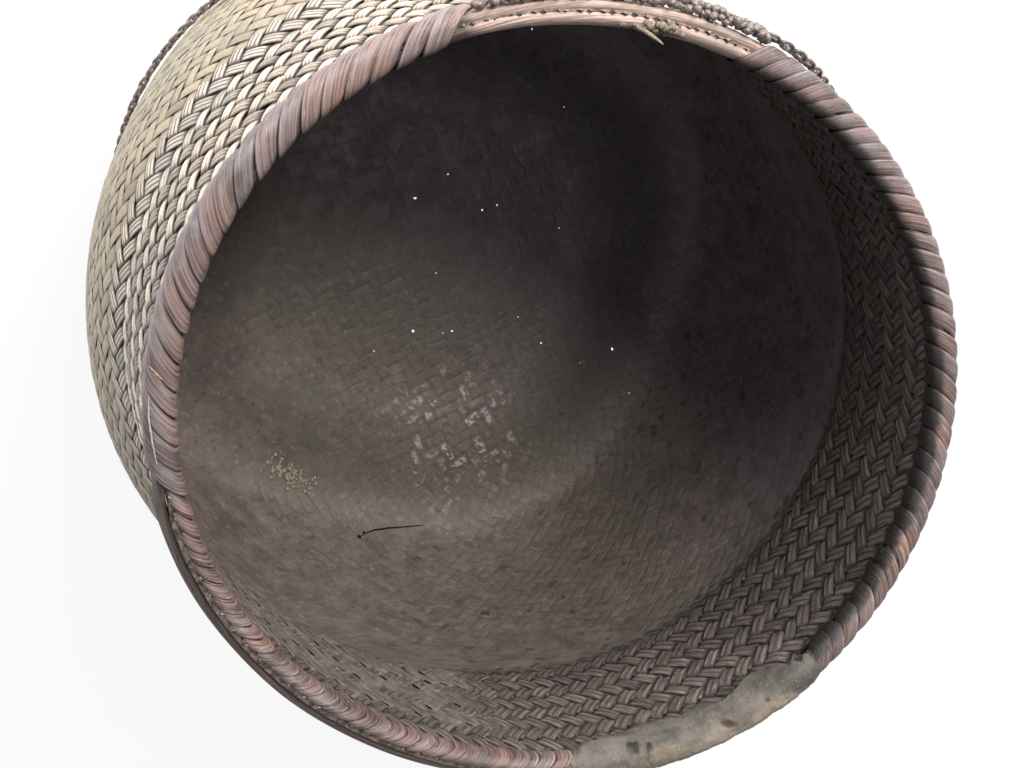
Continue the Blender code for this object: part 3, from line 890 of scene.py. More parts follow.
def lay_strips(name, wall, leaning, members, span, steps, section):
    """Strips that lean one way, from one crossing to another: two over and two under all the way."""
    start, end = span
    plaiting = bpy.context.scene.basket_plaiting
    count = plaiting.strips
    chance = np.random.default_rng(1000 + 97 * int(members[0]) + (31 if leaning > 0 else 57))
    crossing = np.linspace(start, end, int(round((end - start) * steps)) + 1)
    path = wall.at_crossing(crossing, wall.path)
    radius = wall.at_crossing(crossing, wall.radius)
    lean = wall.at_crossing(crossing, wall.lean)
    plump = wall.at_crossing(crossing, wall.plump)
    loft = wall.at_crossing(crossing, wall.loft)
    thickness = wall.at_crossing(crossing, wall.thickness)
    spacing = 2 * np.pi * radius / count * np.sin(lean)
    height = leaning * arch(crossing, 0.42 + 0.75 * plump)
    members = np.asarray(members)
    total = len(members)
    turn = 2 * np.pi * members[:, None] / count + leaning * np.pi * crossing[None, :] / count

    float_number = np.floor((crossing + 0.5) / 2).astype(int)
    floats = float_number.max() + 2
    held = np.abs(height) ** 0.5
    own_lift = (chance.normal(0, 0.080 * MM, (total, floats))[:, float_number]) * held * (0.35 + 0.65 * plump)
    own_shift = (chance.normal(0, 0.28 * MM, (total, floats))[:, float_number]) * held * (0.25 + 0.75 * plump)
    own_width = 1 + chance.normal(0, 0.07, (total, floats))[:, float_number] * held
    wander = 0.10 * MM * np.sin(path[None, :] / (9 * MM) + chance.uniform(0, 6.28, (total, 1)))
    strip_width = 1 + chance.normal(0, 0.02, (total, 1))

    across, sides, crown, ridges, valleys = section_rows(section)
    outer = sides >= 0
    narrow = 1 - (0.27 - 0.10 * np.abs(height)) * plump
    half_out = spacing / 2 * (0.955 * narrow)
    half_in = spacing / 2 * (0.955 + 0.02 * plump)
    half = np.where(outer[None, :], half_out[:, None], half_in[:, None])
    sideways = across[None, None, :] * (half[None] * (own_width * strip_width)[:, :, None])
    sideways = sideways + (own_shift + wander)[:, :, None]
    lift = (loft * height)[None, :, None] + own_lift[:, :, None]
    lift = lift + thickness[None, :, None] * sides[None, None, :] + crown[None, None, :]
    lift = lift + (plaiting.ridge * plump)[None, :, None] * ridges[None, None, :]

    angle = turn[:, :, None] - leaning * sideways * (np.sin(lean) / radius)[None, :, None]
    along = path[None, :, None] + sideways * np.cos(lean)[None, :, None]
    points = wall.points(angle, np.clip(along, 0, None), lift)

    shape = points.shape[:3]
    length = (path / np.sin(lean))[None, :, None]
    number = members[:, None, None] * 1.37 + (40 if leaning > 0 else 0)
    tone = chance.beta(2.2, 2.2, (total, floats))[:, float_number] * 0.7
    tone = tone + chance.uniform(0, 0.3, (total, 1))
    attributes = {
        "lay": spread(shape, length, sideways, number),
        "tone": spread(shape, tone[:, :, None]),
        "side": spread(shape, outer.astype(float)),
        "crest": spread(shape, crest_of(height, outer)),
        "edge": spread(shape, valleys),
    }
    faces = tube_faces(total, len(crossing), len(across), flip=leaning < 0)
    return mesh_piece(name, points, faces, attributes)


def lay_base(wall):
    """The flat twill of the base: straight strips both ways, at 45 degrees to its sides."""
    shape = bpy.context.scene.basket_shape
    plaiting = bpy.context.scene.basket_plaiting
    chance = np.random.default_rng(77)
    half_count = plaiting.strips // 4
    width = plaiting.width
    base_edge = wall.radius[len(wall.crossing) - 1]
    drop = wall.drop[-1]
    points, faces, attributes = [], [], []
    across, sides, crown, _, valleys = section_rows(FLAT_SECTION)
    outer = sides >= 0
    around = len(across)
    made = 0
    for leaning in (1, -1):
        heading = shape.base_turn + math.radians(45 if leaning > 0 else 135)
        ahead = np.array([math.cos(heading), math.sin(heading)])
        aside = np.array([math.cos(heading + math.pi / 2), math.sin(heading + math.pi / 2)])
        for number in range(-half_count, half_count):
            offset = (number + 0.5) * width
            reach = np.arange(-26, 26.01, 1 / 3) * width
            middle = reach[:, None] * ahead + offset * aside
            turned = np.arctan2(middle[:, 1], middle[:, 0])
            edge = base_edge * square_share(turned - shape.base_turn, shape.base_squareness)
            inside = np.hypot(middle[:, 0], middle[:, 1]) < edge + 0.6 * MM
            if inside.sum() < 6:
                continue
            reach = reach[inside]
            crossing = reach / width - 0.5 - number if leaning > 0 else -(number + 0.5 + reach / width)
            height = leaning * arch(crossing, 0.42)
            half = width / 2 * 0.955 * (1 + chance.normal(0, 0.02))
            sideways = across * half + chance.normal(0, 0.08 * MM)
            flat = reach[:, None, None] * ahead + (offset + sideways)[None, :, None] * aside
            lift = plaiting.belly_loft * height[:, None] + plaiting.belly_thickness * sides + crown
            level = shape.height - drop - lift
            rows = len(reach)
            points.append(np.concatenate((flat, level[:, :, None]), axis=-1).reshape(-1, 3))
            faces.append(made + tube_faces(1, rows, around, flip=leaning < 0))
            made += rows * around
            block = (rows, around)
            attributes.append({
                "lay": spread(block, reach[:, None], sideways, number * 1.7),
                "tone": spread(block, chance.uniform(0.2, 0.8)),
                "side": spread(block, outer.astype(float)),
                "crest": spread(block, crest_of(height, outer)),
                "edge": spread(block, valleys),
            })
    joined = {key: np.concatenate([values[key] for values in attributes]) for key in attributes[0]}
    base = mesh_piece("base_strips", np.concatenate(points), np.concatenate(faces), joined)
    face_outwards(base)
    return base


# Pixel of the picture round which the wall at the left is made lighter, with dry dust and painted light
DUST_AND_LIGHT_PIXEL = (212, 372)
# Pixel of the picture round which rubbed strips show through the coat, with painted highlights and painted
# light
GLINT_PIXEL = (456, 432)
# Points round the core, and its rows down the wall and in over the floor
CORE_AROUND = 320
CORE_ROWS = (110, 46)


def core_faces(rows):
    """Faces of the core: rows down the outside and back up the inside, open in the middle of the floor."""
    around = CORE_AROUND
    row = np.arange(2 * rows - 1)[:, None]
    place = np.arange(around)[None, :]
    after = (place + 1) % around
    quads = np.stack((row * around + place, (row + 1) * around + place,
                      (row + 1) * around + after, row * around + after), axis=-1).reshape(-1, 4)
    middle = (rows - 1) * around
    kept = ~((quads[:, 0] >= middle) & (quads[:, 0] < middle + around))
    last = (2 * rows - 1) * around
    closing = np.stack((last + place[0], place[0], after[0], last + after[0]), axis=-1)
    return np.concatenate((quads[kept], closing))


def strips_passed(wall, path, points, faces):
    """At each corner of the core's faces, how many strips of either leaning have been passed."""
    shape = bpy.context.scene.basket_shape
    plaiting = bpy.context.scene.basket_plaiting
    around = CORE_AROUND
    rows = np.arange(len(path))
    row = np.concatenate((rows, rows[::-1]))[faces // around]
    place = faces % around
    closes_round = (place == 0) & (place.max(axis=1) > around / 2)[:, None]
    turn = np.where(closes_round, 2 * np.pi, 2 * np.pi * place / around)
    count = plaiting.strips * turn / (2 * np.pi)
    crossing = np.interp(path, wall.path[:len(wall.crossing)], wall.crossing)
    half = crossing[row] / 2
    spot = points[faces]
    heading = shape.base_turn + math.radians(45)
    ahead = (spot[:, :, 0] * math.cos(heading) + spot[:, :, 1] * math.sin(heading)) / plaiting.width
    aside = (spot[:, :, 1] * math.cos(heading) - spot[:, :, 0] * math.sin(heading)) / plaiting.width
    floor_face = (row >= CORE_ROWS[0]).all(axis=1)[:, None]
    return np.stack((np.where(floor_face, aside - 0.5, count - half),
                     np.where(floor_face, ahead - 0.5, count + half)), axis=-1)


def near_pixel(piece, pixel, start, width):
    """A share at each point of a piece, which falls from 1 to 0 round the spot that a pixel shows."""
    spot, _ = seen_at(surface(piece), *pixel)
    reach = np.linalg.norm(mesh_points(piece) - np.array(spot), axis=1)
    return 1 - ease((reach - start) / width)


def make_core(wall):
    """Sheet in the middle of the plaiting, near black outside as painted shade between the strips, which
    thickens inside into the coat of grime.
    """
    shape = bpy.context.scene.basket_shape
    plaiting = bpy.context.scene.basket_plaiting
    turns = len(wall.crossing)
    wall_drop = np.linspace(shape.wall_top, shape.height - 0.5 * MM, CORE_ROWS[0])
    wall_path = np.interp(wall_drop, wall.drop[:turns], wall.path[:turns])
    floor_path = np.linspace(wall.path[turns - 1], wall.path[-1], CORE_ROWS[1])
    path = np.concatenate((wall_path, floor_path))
    path[-1] = wall.path[-1] - 0.4 * MM
    angle = np.linspace(0, 2 * np.pi, CORE_AROUND, endpoint=False)
    grid_angle, grid_path = np.meshgrid(angle, path)
    drop = np.interp(grid_path, wall.path, wall.drop)
    flat = wall.points(grid_angle, grid_path, 0 * grid_path)
    soft = noise_at(flat.reshape(-1, 3), 16 * MM, 1).reshape(grid_path.shape)
    rough = noise_at(flat.reshape(-1, 3), 3 * MM, 2).reshape(grid_path.shape)
    covered = plaiting.coat_level * ease((drop - shape.neck_depth + (6 + 4 * soft) * MM) / (16 * MM))
    degrees = np.degrees(grid_angle)
    patch = within(degrees, NECK_PATCH, 14, 22) * ease((drop - (15 + 8 * soft) * MM) / (10 * MM))
    covered = np.maximum(covered, plaiting.neck_coat * patch * (0.94 + 0.10 * soft))
    corner = (grid_path - wall.path[turns - 1]) / (30 * MM)
    fill = plaiting.corner_fill * np.clip(1 - corner ** 2, 0, None) ** 2
    level = 0.05 * MM + covered + fill
    level = level + (0.05 * soft + 0.03 * rough) * MM * ease(covered / (0.3 * MM))
    inside = wall.points(grid_angle, grid_path, -level)
    outside = wall.points(grid_angle, grid_path, 0.02 * MM + 0 * grid_path)
    points = np.concatenate((outside, inside[::-1])).reshape(-1, 3)
    faces = core_faces(len(path))
    counts = strips_passed(wall, path, points, faces)

    slots = patch * ease((shape.neck_depth + 3 * MM - drop) / (6 * MM))
    # A mask that grows towards one side of the inside, where the coat gets a painted bluish tint of shade.
    shaded_side = math.radians(SHADED_SIDE)
    toward = flat[:, :, 0] * math.cos(shaded_side) + flat[:, :, 1] * math.sin(shaded_side)
    soot_and_shade = np.clip(ease(0.48 + toward / (85 * MM)) * (0.9 + 0.25 * soft), 0, 1)
    # Painted shade over the corner of the base, which is also made rougher there with the settled dirt.
    settled_and_shaded = np.clip(1 - (corner * 1.2) ** 2, 0, 1)
    # Dust and painted light: part of the lower wall, the glint spot and a spot at the left are made lighter.
    dust_and_light = within(degrees, DUST_AND_LIGHT_SIDE, 45, 45) * ease((drop - 62 * MM) / (6 * MM))
    dust_and_light = dust_and_light * ease((-corner - 0.8) / 1.4)
    covers = {"slots": slots, "soot_and_shade": soot_and_shade, "settled_and_shaded": settled_and_shaded, "dust_and_light": dust_and_light}
    for name, values in covers.items():
        covers[name] = np.concatenate((0 * values, values[::-1])).reshape(-1)
    dust_and_light = covers.pop("dust_and_light")
    side = np.repeat([1.0, 0.0], len(path) * CORE_AROUND)
    core = mesh_piece("grime_and_shade_core", points, faces, {"side": side, **covers})
    core.data.uv_layers.new(name="plaiting").data.foreach_set("uv", counts.astype(np.float32).reshape(-1))
    glint = near_pixel(core, GLINT_PIXEL, 5 * MM, 36 * MM)
    dust_and_light = np.clip(dust_and_light * 0.57 + glint * 0.6 + 1.1 * near_pixel(core, DUST_AND_LIGHT_PIXEL, 6 * MM, 46 * MM), 0, 1)
    mark(core.data, "glint", glint)
    mark(core.data, "dust_and_light", dust_and_light)
    face_outwards(core, close=True)
    return core


# Rim

# Hoops: mean radius of the flat side and of the round side, drop of the underside, and seed
HOOPS = (("outer", 101.60, 104.10, 9.4, 1.0), ("inner", 101.20, 98.45, 6.0, 2.4))
# Outlines round the section of the rim, as mean radius and drop in millimetres
STRAND_SECTION = ((100.9, 1.7), (101.15, 1.15), (101.70, 1.15), (101.95, 1.7), (101.95, 9.4), (100.9, 9.4))
RIM_OUTLINE = (
    (101.3, 9.5), (103.2, 9.9), (104.5, 9.3), (104.95, 7.0), (105.0, 4.6), (104.85, 2.3),
    (103.9, 0.75), (102.3, 0.12), (100.4, 0.10), (98.9, 0.65), (97.85, 2.0), (97.55, 4.0),
    (97.7, 6.0), (98.8, 7.0),
)
INNER_OUTLINE = (
    (100.6, 7.6), (101.6, 7.9), (102.1, 6.8), (102.2, 4.6), (102.0, 2.4), (101.3, 0.8),
    (100.1, 0.25), (98.9, 0.6), (98.05, 1.7), (97.8, 3.4), (97.9, 5.6), (99.0, 6.9),
)


def smooth_outline(outline, rounds):
    """Round a closed outline by cutting its corners again and again."""
    points = np.array(outline) * MM
    for _ in range(rounds):
        after = np.roll(points, -1, axis=0)
        points = np.stack((points * 0.75 + after * 0.25, points * 0.25 + after * 0.75), axis=1).reshape(-1, 2)
    return points


def outline_at(outline, shares):
    """Points of an outline and its outward normals at shares of its length."""
    closed = np.concatenate((outline, outline[:1]))
    length = np.concatenate(([0.0], np.cumsum(np.hypot(*np.diff(closed, axis=0).T))))
    at = (shares % 1.0) * length[-1]
    points = np.stack((np.interp(at, length, closed[:, 0]), np.interp(at, length, closed[:, 1])), axis=-1)
    ahead = np.roll(points, -1, axis=0)
    back = np.roll(points, 1, axis=0)
    along = ahead - back
    normal = np.stack((-along[:, 1], along[:, 0]), axis=-1)
    normal /= np.maximum(np.hypot(normal[:, 0], normal[:, 1]), 1e-9)[:, None]
    middle = outline.mean(axis=0)
    if ((points - middle) * normal).sum() < 0:
        normal = -normal
    return points, normal


# Section of a wound strip, from edge to edge outside and back inside, each with four values: the place
# across it, how high it rises, its lean in millimetres, and its share of a torn lip
WOUND_SECTION = (
    (-1, 0.12, -0.22, 0), (-0.72, 0.62, -0.16, 0), (0, 1.0, 0, 0), (0.68, 0.80, 0.15, 0.1),
    (0.84, 0.62, 0.18, 1), (1, 0.25, 0.22, 0), (0.72, -0.1, 0.16, 0), (-0.72, -0.1, -0.16, 0),
)


def wind(name, outline, angles, turns, seed, soot_and_shade, rub, lips, fade):
    """One strip wound round the rim, each turn a little over the one before it.

    The fade makes it darker from its first turn to its last.
    """
    rim = bpy.context.scene.basket_rim
    thickness = rim.strip_thickness
    chance = np.random.default_rng(seed)
    per_turn = 40
    outline = smooth_outline(outline, 3)
    share = np.arange(per_turn) / per_turn
    points, normal = outline_at(outline, share)
    stride = math.radians(angles[1] - angles[0]) / (turns + 1)
    forward = 1.62 * ease((share - 0.17) / 0.50) + 0.10 * share
    back = 0.72 * ease((share - 0.76) / 0.24)
    advance = forward - back
    shift = chance.normal(0, 0.075, turns + 2)
    width = 1 + chance.normal(0, 0.06, turns + 2) - 0.17 * (chance.random(turns + 2) < 0.16)
    rubs = rub * np.clip(chance.beta(0.6, 1.1, turns + 2) * 1.3, 0, 1)
    tilt = 1 + chance.normal(0, 0.25, turns + 2)
    tones = np.clip(chance.beta(1.6, 1.6, turns + 2) + fade * np.linspace(1, -1, turns + 2), 0, 1)
    number = np.repeat(np.arange(turns), per_turn)
    smooth = np.tile(ease(share), turns)
    pick = lambda values: values[number] * (1 - smooth) + values[number + 1] * smooth
    angle = math.radians(angles[0]) + stride * (0.35 + number + np.tile(advance, turns) + pick(shift))
    across, rise, lean, lip = np.array(WOUND_SECTION).T
    half = stride * 0.535 * pick(width)
    lift = (rise[None, :] - 0.5) * thickness + lean[None, :] * MM * pick(tilt)[:, None]
    sweep = angle[:, None] + half[:, None] * across[None, :]
    centre = np.tile(points, (turns, 1))
    out = np.tile(normal, (turns, 1))
    radius = centre[:, None, 0] + out[:, None, 0] * lift
    drop = centre[:, None, 1] + out[:, None, 1] * lift
    made = stand(sweep, radius, np.maximum(drop, -0.35 * MM))
    rows = len(number)
    perimeter = np.hypot(*np.diff(np.concatenate((outline, outline[:1])), axis=0).T).sum()
    length = (number + np.tile(share, turns)) * perimeter
    block = (rows, len(across))
    inner = ease((np.tile(share, turns) - 0.40) / 0.12) * pick(rubs)
    # Soot and painted shade darken the inner part of each turn.
    sooty_and_shaded = soot_and_shade * ease((np.tile(share, turns) - 0.47 - 0.08 * (pick(tones) - 0.5)) / 0.20)
    attributes = {
        "lay": spread(block, length[:, None], across * 2.6 * MM, seed * 1.7),
        "tone": spread(block, pick(tones)[:, None]),
        "rub": spread(block, inner[:, None]),
        "soot_and_shade": spread(block, sooty_and_shaded[:, None]),
        "edge": spread(block, np.where(across == 0.84, 0.75, np.abs(across))),
        "lip": spread(block, lips * lip),
    }
    faces = tube_faces(1, rows, len(across), flip=False)
    strip = mesh_piece(name, made, faces, attributes)
    face_outwards(strip)
    return strip


def hoop_section(flat_side, round_side, top, bottom):
    """Section of a split cane hoop: flat towards the strand ends, and rounded and ribbed by its fibres."""
    width = round_side - flat_side
    ribs = (0.0, 0.06, -0.03, 0.07, -0.02, 0.05, 0.0)
    places = [(flat_side, top + 0.5 * MM), (flat_side + 0.18 * width, top + 0.08 * MM)]
    places += [(flat_side + 0.45 * width, top), (flat_side + 0.72 * width, top + 0.22 * MM)]
    for step, rib in enumerate(ribs):
        share = (step + 0.35) / len(ribs)
        bulge = 0.10 * math.sin(math.pi * share)
        drop = top + 0.9 * MM + (bottom - top - 1.3 * MM) * share
        places.append((flat_side + width * (0.93 + rib + bulge), drop))
    places += [(flat_side + 0.7 * width, bottom), (flat_side, bottom - 0.15 * MM)]
    return places


def mark_bare(piece, degrees):
    """Mark where the rim has lost its binding and is weathered pale, and give that share."""
    bare = within(degrees, BARE_RIM, 3, 3)
    mark(piece.data, "bare", bare)
    return bare


def shape_hoop(hoop, sprung, seed):
    """Set a spun hoop on the oval, with its wobble and, for the outer one, where it has sprung away."""
    points = mesh_points(hoop)
    angle = np.arctan2(points[:, 1], points[:, 0])
    radius = np.hypot(points[:, 0], points[:, 1])
    degrees = np.degrees(angle) % 360
    wave = 0.10 * MM * np.sin(7 * angle + seed) + 0.07 * MM * np.sin(17 * angle + 2 * seed)
    share = within(degrees, SPRUNG_HOOP, 6, 8) if sprung else 0.0
    set_points(hoop, stand(angle, radius + wave + 1.4 * MM * share, -points[:, 2] + 1.2 * MM * share))
    mark_bare(hoop, degrees)


# Mean radius and drop in millimetres along the pitch, from outside over the rim to inside
PITCH_PATH = (
    (104.6, 14.6), (104.95, 11.0), (105.1, 7.0), (105.1, 3.6), (104.5, 1.2), (103.0, 0.1), (101.2, -0.15),
    (99.4, 0.1), (98.1, 1.2), (97.5, 3.6), (97.45, 6.6), (98.3, 9.6), (99.3, 12.0), (100.0, 15.0),
    (100.45, 19.0),
)
# Marks on the pitch: share of its length, share of its way over the rim, and width
PITCH_NICKS = ((0.615, 0.60, 0.036), (0.78, 0.52, 0.014), (0.66, 0.30, 0.014))
PITCH_LUMPS = ((0.255, 0.64, 0.040), (0.31, 0.58, 0.020))


def make_pitch():
    """Coat of pitch over both hoops: a wrapped sheet with lumps, nicks and ragged edges."""
    rim = bpy.context.scene.basket_rim
    columns, rows = 150, 56
    drop_selection()
    bpy.ops.mesh.primitive_grid_add(x_subdivisions=columns, y_subdivisions=rows, size=2.0)
    coat = bpy.context.object
    coat.name = "pitch_coat_lumpy"
    grid = mesh_points(coat)
    along = (grid[:, 0] + 1) / 2
    over = (grid[:, 1] + 1) / 2
    angle = np.radians(PITCH_SPAN[0] + (PITCH_SPAN[1] - PITCH_SPAN[0]) * along)
    path = np.array(PITCH_PATH) * MM
    length = np.concatenate(([0.0], np.cumsum(np.hypot(*np.diff(path, axis=0).T))))
    edge_noise = [np.array([noise.noise(Vector((share * pace, start, 0))) for share in along])
                  for pace, start in ((9, 3.3), (7, 8.8), (40, 2.8))]
    ragged, ragged_in, frayed = edge_noise
    low = 0.07 + 0.07 * ragged
    high = 0.80 + 0.20 * ragged_in + 0.05 * frayed
    high = np.clip(high - 0.30 * ease((along - 0.86) / 0.14) - 0.22 * ease((0.10 - along) / 0.10), 0.4, 1.0)
    at = (low + (high - low) * over) * length[-1]
    radius = np.interp(at, length, path[:, 0])
    drop = np.interp(at, length, path[:, 1])
    before, after = at - 0.4 * MM, at + 0.4 * MM
    ahead = [np.interp(after, length, line) - np.interp(before, length, line) for line in path.T]
    ahead = np.stack(ahead, axis=-1)
    ahead /= np.hypot(ahead[:, 0], ahead[:, 1])[:, None]
    out = np.stack((-ahead[:, 1], ahead[:, 0]), axis=-1)
    out *= np.sign(out[:, 0] * (radius - RIM_MIDDLE[0]) + out[:, 1] * (drop - RIM_MIDDLE[1]))[:, None]
    ends = np.minimum(ease(along / 0.06), ease((1 - along) / 0.06))
    edges = np.minimum(ease(over / 0.10), ease((1 - over) / 0.10))
    flat = stand(angle, radius, drop)
    lumps = noise_at(flat, 7 * MM, 5) * 0.5 + noise_at(flat, 2.5 * MM, 6) * 0.30
    lumps = lumps + noise_at(flat, 1.0 * MM, 7) * 0.18
    thick = rim.coat_thickness * (0.55 + 0.45 * lumps) * ends * edges
    nick, lump = np.zeros(len(grid)), np.zeros(len(grid))
    for marks, spots in ((nick, PITCH_NICKS), (lump, PITCH_LUMPS)):
        for at_along, at_over, width in spots:
            reach = np.hypot((along - at_along) * 1.6, (over - at_over) * 0.9)
            np.maximum(marks, 1 - ease((reach - width * 0.5) / width), out=marks)
    lift = thick * (1 - 0.75 * nick) + 0.8 * MM * lump
    set_points(coat, stand(angle, radius + out[:, 0] * lift, drop + out[:, 1] * lift))
    outer = 1 - ease((over - 0.46 - 0.10 * lumps) / 0.12)
    for kept, values in (("nick", nick), ("lump", lump), ("outer", outer)):
        mark(coat.data, kept, values)
    face_outwards(coat)
    body = coat.modifiers.new("body", "SOLIDIFY")
    body.thickness = 0.35 * MM
    body.offset = -1.0
    bpy.ops.object.modifier_apply(modifier="body")
    bpy.ops.object.shade_smooth()
    coat.select_set(False)
    return coat


# Cord

# The cord's route: degrees round the basket and drops in millimetres
CORD_ROUTE = (
    (91.0, 5.0), (110.0, 4.0), (131.0, 6.0), (137.5, 30.0), (143.0, 65.2), (149.0, 101.0), (158.0, 127.1),
    (170.0, 136.8), (184.0, 147.7), (200.0, 160.7), (240.0, 166.2), (285.0, 167.2), (330.0, 166.2),
    (370.0, 160.7), (386.0, 147.7), (400.0, 136.8), (412.0, 127.1), (421.0, 101.0), (427.0, 65.2),
    (433.0, 30.0),
)


def cord_line():
    """Close points along the cord and the way out from the wall at each."""
    shape = bpy.context.scene.basket_shape
    rim = bpy.context.scene.basket_rim
    route = np.array(CORD_ROUTE)
    count = len(route)
    places = []
    for step in range(count * 60):
        position = step / 60
        first = int(position)
        share = position - first
        near = []
        for place in range(first - 1, first + 3):
            near.append(route[place % count] + (360.0 * (place // count), 0.0))
        before, start, end, after = near
        pull_start, pull_end = (end - before) / 2, (after - start) / 2
        places.append(start * (1 + 2 * share) * (1 - share) ** 2 + pull_start * share * (1 - share) ** 2
                      + end * share ** 2 * (3 - 2 * share) + pull_end * share ** 2 * (share - 1))
    places = np.array(places)
    angle, drop = np.radians(places[:, 0]), places[:, 1] * MM
    clear = 0.3 * MM + rim.cord_thickness / 2
    share = ease((drop - shape.wall_top) / (shape.neck_depth - shape.wall_top))
    neck = shape.mouth_radius + (shape.fold_radius - shape.mouth_radius) * share
    slope = (outer_radius(drop + clear) - outer_radius(drop - clear)) / (2 * clear)
    belly = outer_radius(drop) + clear * np.hypot(1.0, slope)
    radius = np.where(drop >= shape.neck_depth, belly, neck + clear)
    middle = stand(angle, radius, drop)
    out = stand(angle, radius + MM, drop) - middle
    out /= np.linalg.norm(out, axis=1)[:, None]
    return middle, out


def make_link():
    """One loop of the cord: a small ring pulled long, pinched at its middle."""
    drop_selection()
    bpy.ops.mesh.primitive_torus_add(major_segments=12, minor_segments=5, major_radius=1.0, minor_radius=0.36)
    bpy.ops.object.mode_set(mode="EDIT")
    bpy.ops.mesh.select_all(action="SELECT")
    bpy.ops.transform.resize(value=(1.0, 0.62, 0.85))
    bpy.ops.object.mode_set(mode="OBJECT")
    return pattern(bpy.context.object)


def make_chain():
    """The looped cord, round the belly and up to the rim: one small loop after another, turned in turn."""
    rim = bpy.context.scene.basket_rim
    chance = random.Random(5)
    middle, out = cord_line()
    step = np.linalg.norm(np.roll(middle, -1, axis=0) - middle, axis=1)
    length = np.concatenate(([0.0], np.cumsum(step)))
    count = int(round(length[-1] / (rim.link_length * 0.62)))
    shape_points, shape_faces = make_link()
    points, faces = [], []
    for number in range(count):
        at = length[-1] * (number + chance.uniform(-0.12, 0.12)) / count
        place = int(np.searchsorted(length, at % length[-1]) - 1) % len(middle)
        here, there = Vector(middle[place]), Vector(middle[(place + 2) % len(middle)])
        ahead = (there - here).normalized()
        lift = Vector(out[place])
        side = ahead.cross(lift).normalized()
        lift = side.cross(ahead).normalized()
        roll = math.radians(38 if number % 2 else -38) + chance.uniform(-0.3, 0.3)
        flat = side * math.cos(roll) + lift * math.sin(roll)
        high = ahead.cross(flat)
        size = chance.uniform(0.88, 1.12)
        turn = Matrix((ahead * rim.link_length / 2 * size, flat * rim.cord_thickness / 2 * 1.25 * size,
                       high * rim.cord_thickness / 2 * size)).transposed()
        moved = here + side * ((0.18 if number % 2 else -0.18) * rim.cord_thickness)
        points.append(shape_points @ np.array(turn).T + np.array(moved))
        faces.append(shape_faces + number * len(shape_points))
    return mesh_piece("looped_cord", np.concatenate(points), np.concatenate(faces))


# Runs of knots: from and to in degrees, then how far out from the rim and how low, in millimetres
KNOT_RUNS = (
    (99.0, 117.0, 0.30, 1.5), (100.0, 116.0, 1.6, 2.8), (99.5, 106.0, 0.9, 0.9), (116.0, 140.0, 0.1, 1.2),
    (126.0, 139.0, 1.4, 2.8),
)


def make_knots():
    """Waxy knots of the cord where it is hitched on the rim: two rows of twisted lumps."""
    rim = bpy.context.scene.basket_rim
    chance = random.Random(11)
    shape_points, shape_faces = ball(2)
    twist = 3 * np.arctan2(shape_points[:, 1], shape_points[:, 0]) + 5 * shape_points[:, 2]
    grooved = shape_points * (1 + 0.16 * np.sin(twist))[:, None]
    points, faces = [], []
    for first, last, away, drop in KNOT_RUNS:
        count = int(math.radians(last - first) * 0.108 / (rim.bead * 0.72))
        for number in range(count):
            angle = math.radians(first + (last - first) * (number + chance.uniform(-0.25, 0.25)) / count)
            radius = 0.105 + (away + chance.uniform(-0.35, 0.35)) * MM
            low = (drop + chance.uniform(-0.8, 0.8)) * MM
            centre = stand(np.array([angle]), np.array([radius]), np.array([low]))[0]
            size = rim.bead / 2 * chance.uniform(0.75, 1.2)
            turn = Matrix.Rotation(angle + chance.uniform(-0.6, 0.6), 3, "Z")
            turn = turn @ Matrix.Rotation(chance.uniform(0, 3.1), 3, "X")
            scale = Matrix.Diagonal((size * 0.85, size * 1.25, size * 0.9))
            points.append(grooved @ np.array(turn @ scale).T + centre)
            faces.append(shape_faces + len(faces) * len(shape_points))
    return mesh_piece("rim_knots", np.concatenate(points), np.concatenate(faces))


# Camera and what is placed by the picture

# The picture's width and height, and the sensor's width in millimetres
PICTURE = (1024, 768)
SENSOR = 36.0
# The camera, fitted to the photograph: its place in rim radii from the middle of the mouth, its axes, and
# the turn in degrees from there to the basket's own axes
CAMERA_PLACE = (-1.1662, 1.0118, 2.6638)
CAMERA_RIGHT = (0.947349, 0.102586, 0.303326)
CAMERA_AHEAD = (0.320204, -0.303509, -0.897414)
CAMERA_TURN = 27.3


def camera_place():
    """Place and axes of the camera: to the right, up and backwards."""
    shape = bpy.context.scene.basket_shape
    turn = Matrix.Rotation(math.radians(CAMERA_TURN), 3, "Z")
    place = turn @ Vector(CAMERA_PLACE) * shape.mouth_radius + Vector((0, 0, shape.height))
    right = turn @ Vector(CAMERA_RIGHT)
    ahead = turn @ Vector(CAMERA_AHEAD)
    right.normalize()
    ahead.normalize()
    up = right.cross(ahead).normalized()
    return place, right, up, -ahead


def soft_surround(strength):
    """A world that lights the basket softly, and that the camera and gloss see as white."""
    world = bpy.data.worlds.new("soft_surround")
    world.use_nodes = True
    nodes, links = world.node_tree.nodes, world.node_tree.links
    back_light = nodes["Background"]
    back_light.inputs["Color"].default_value = (0.82, 0.88, 1.0, 1.0)
    back_light.inputs["Strength"].default_value = strength
    white = nodes.new("ShaderNodeBackground")
    white.inputs["Color"].default_value = (1.0, 1.0, 1.0, 1.0)
    white.inputs["Strength"].default_value = 1.0
    path = nodes.new("ShaderNodeLightPath")
    either = nodes.new("ShaderNodeMath")
    either.operation = "MAXIMUM"
    mixed = nodes.new("ShaderNodeMixShader")
    for source, socket in ((path.outputs["Is Camera Ray"], either.inputs[0]),
                           (path.outputs["Is Glossy Ray"], either.inputs[1]),
                           (either.outputs[0], mixed.inputs[0]), (back_light.outputs[0], mixed.inputs[1]),
                           (white.outputs[0], mixed.inputs[2]),
                           (mixed.outputs[0], nodes["World Output"].inputs["Surface"])):
        links.new(source, socket)
    return world


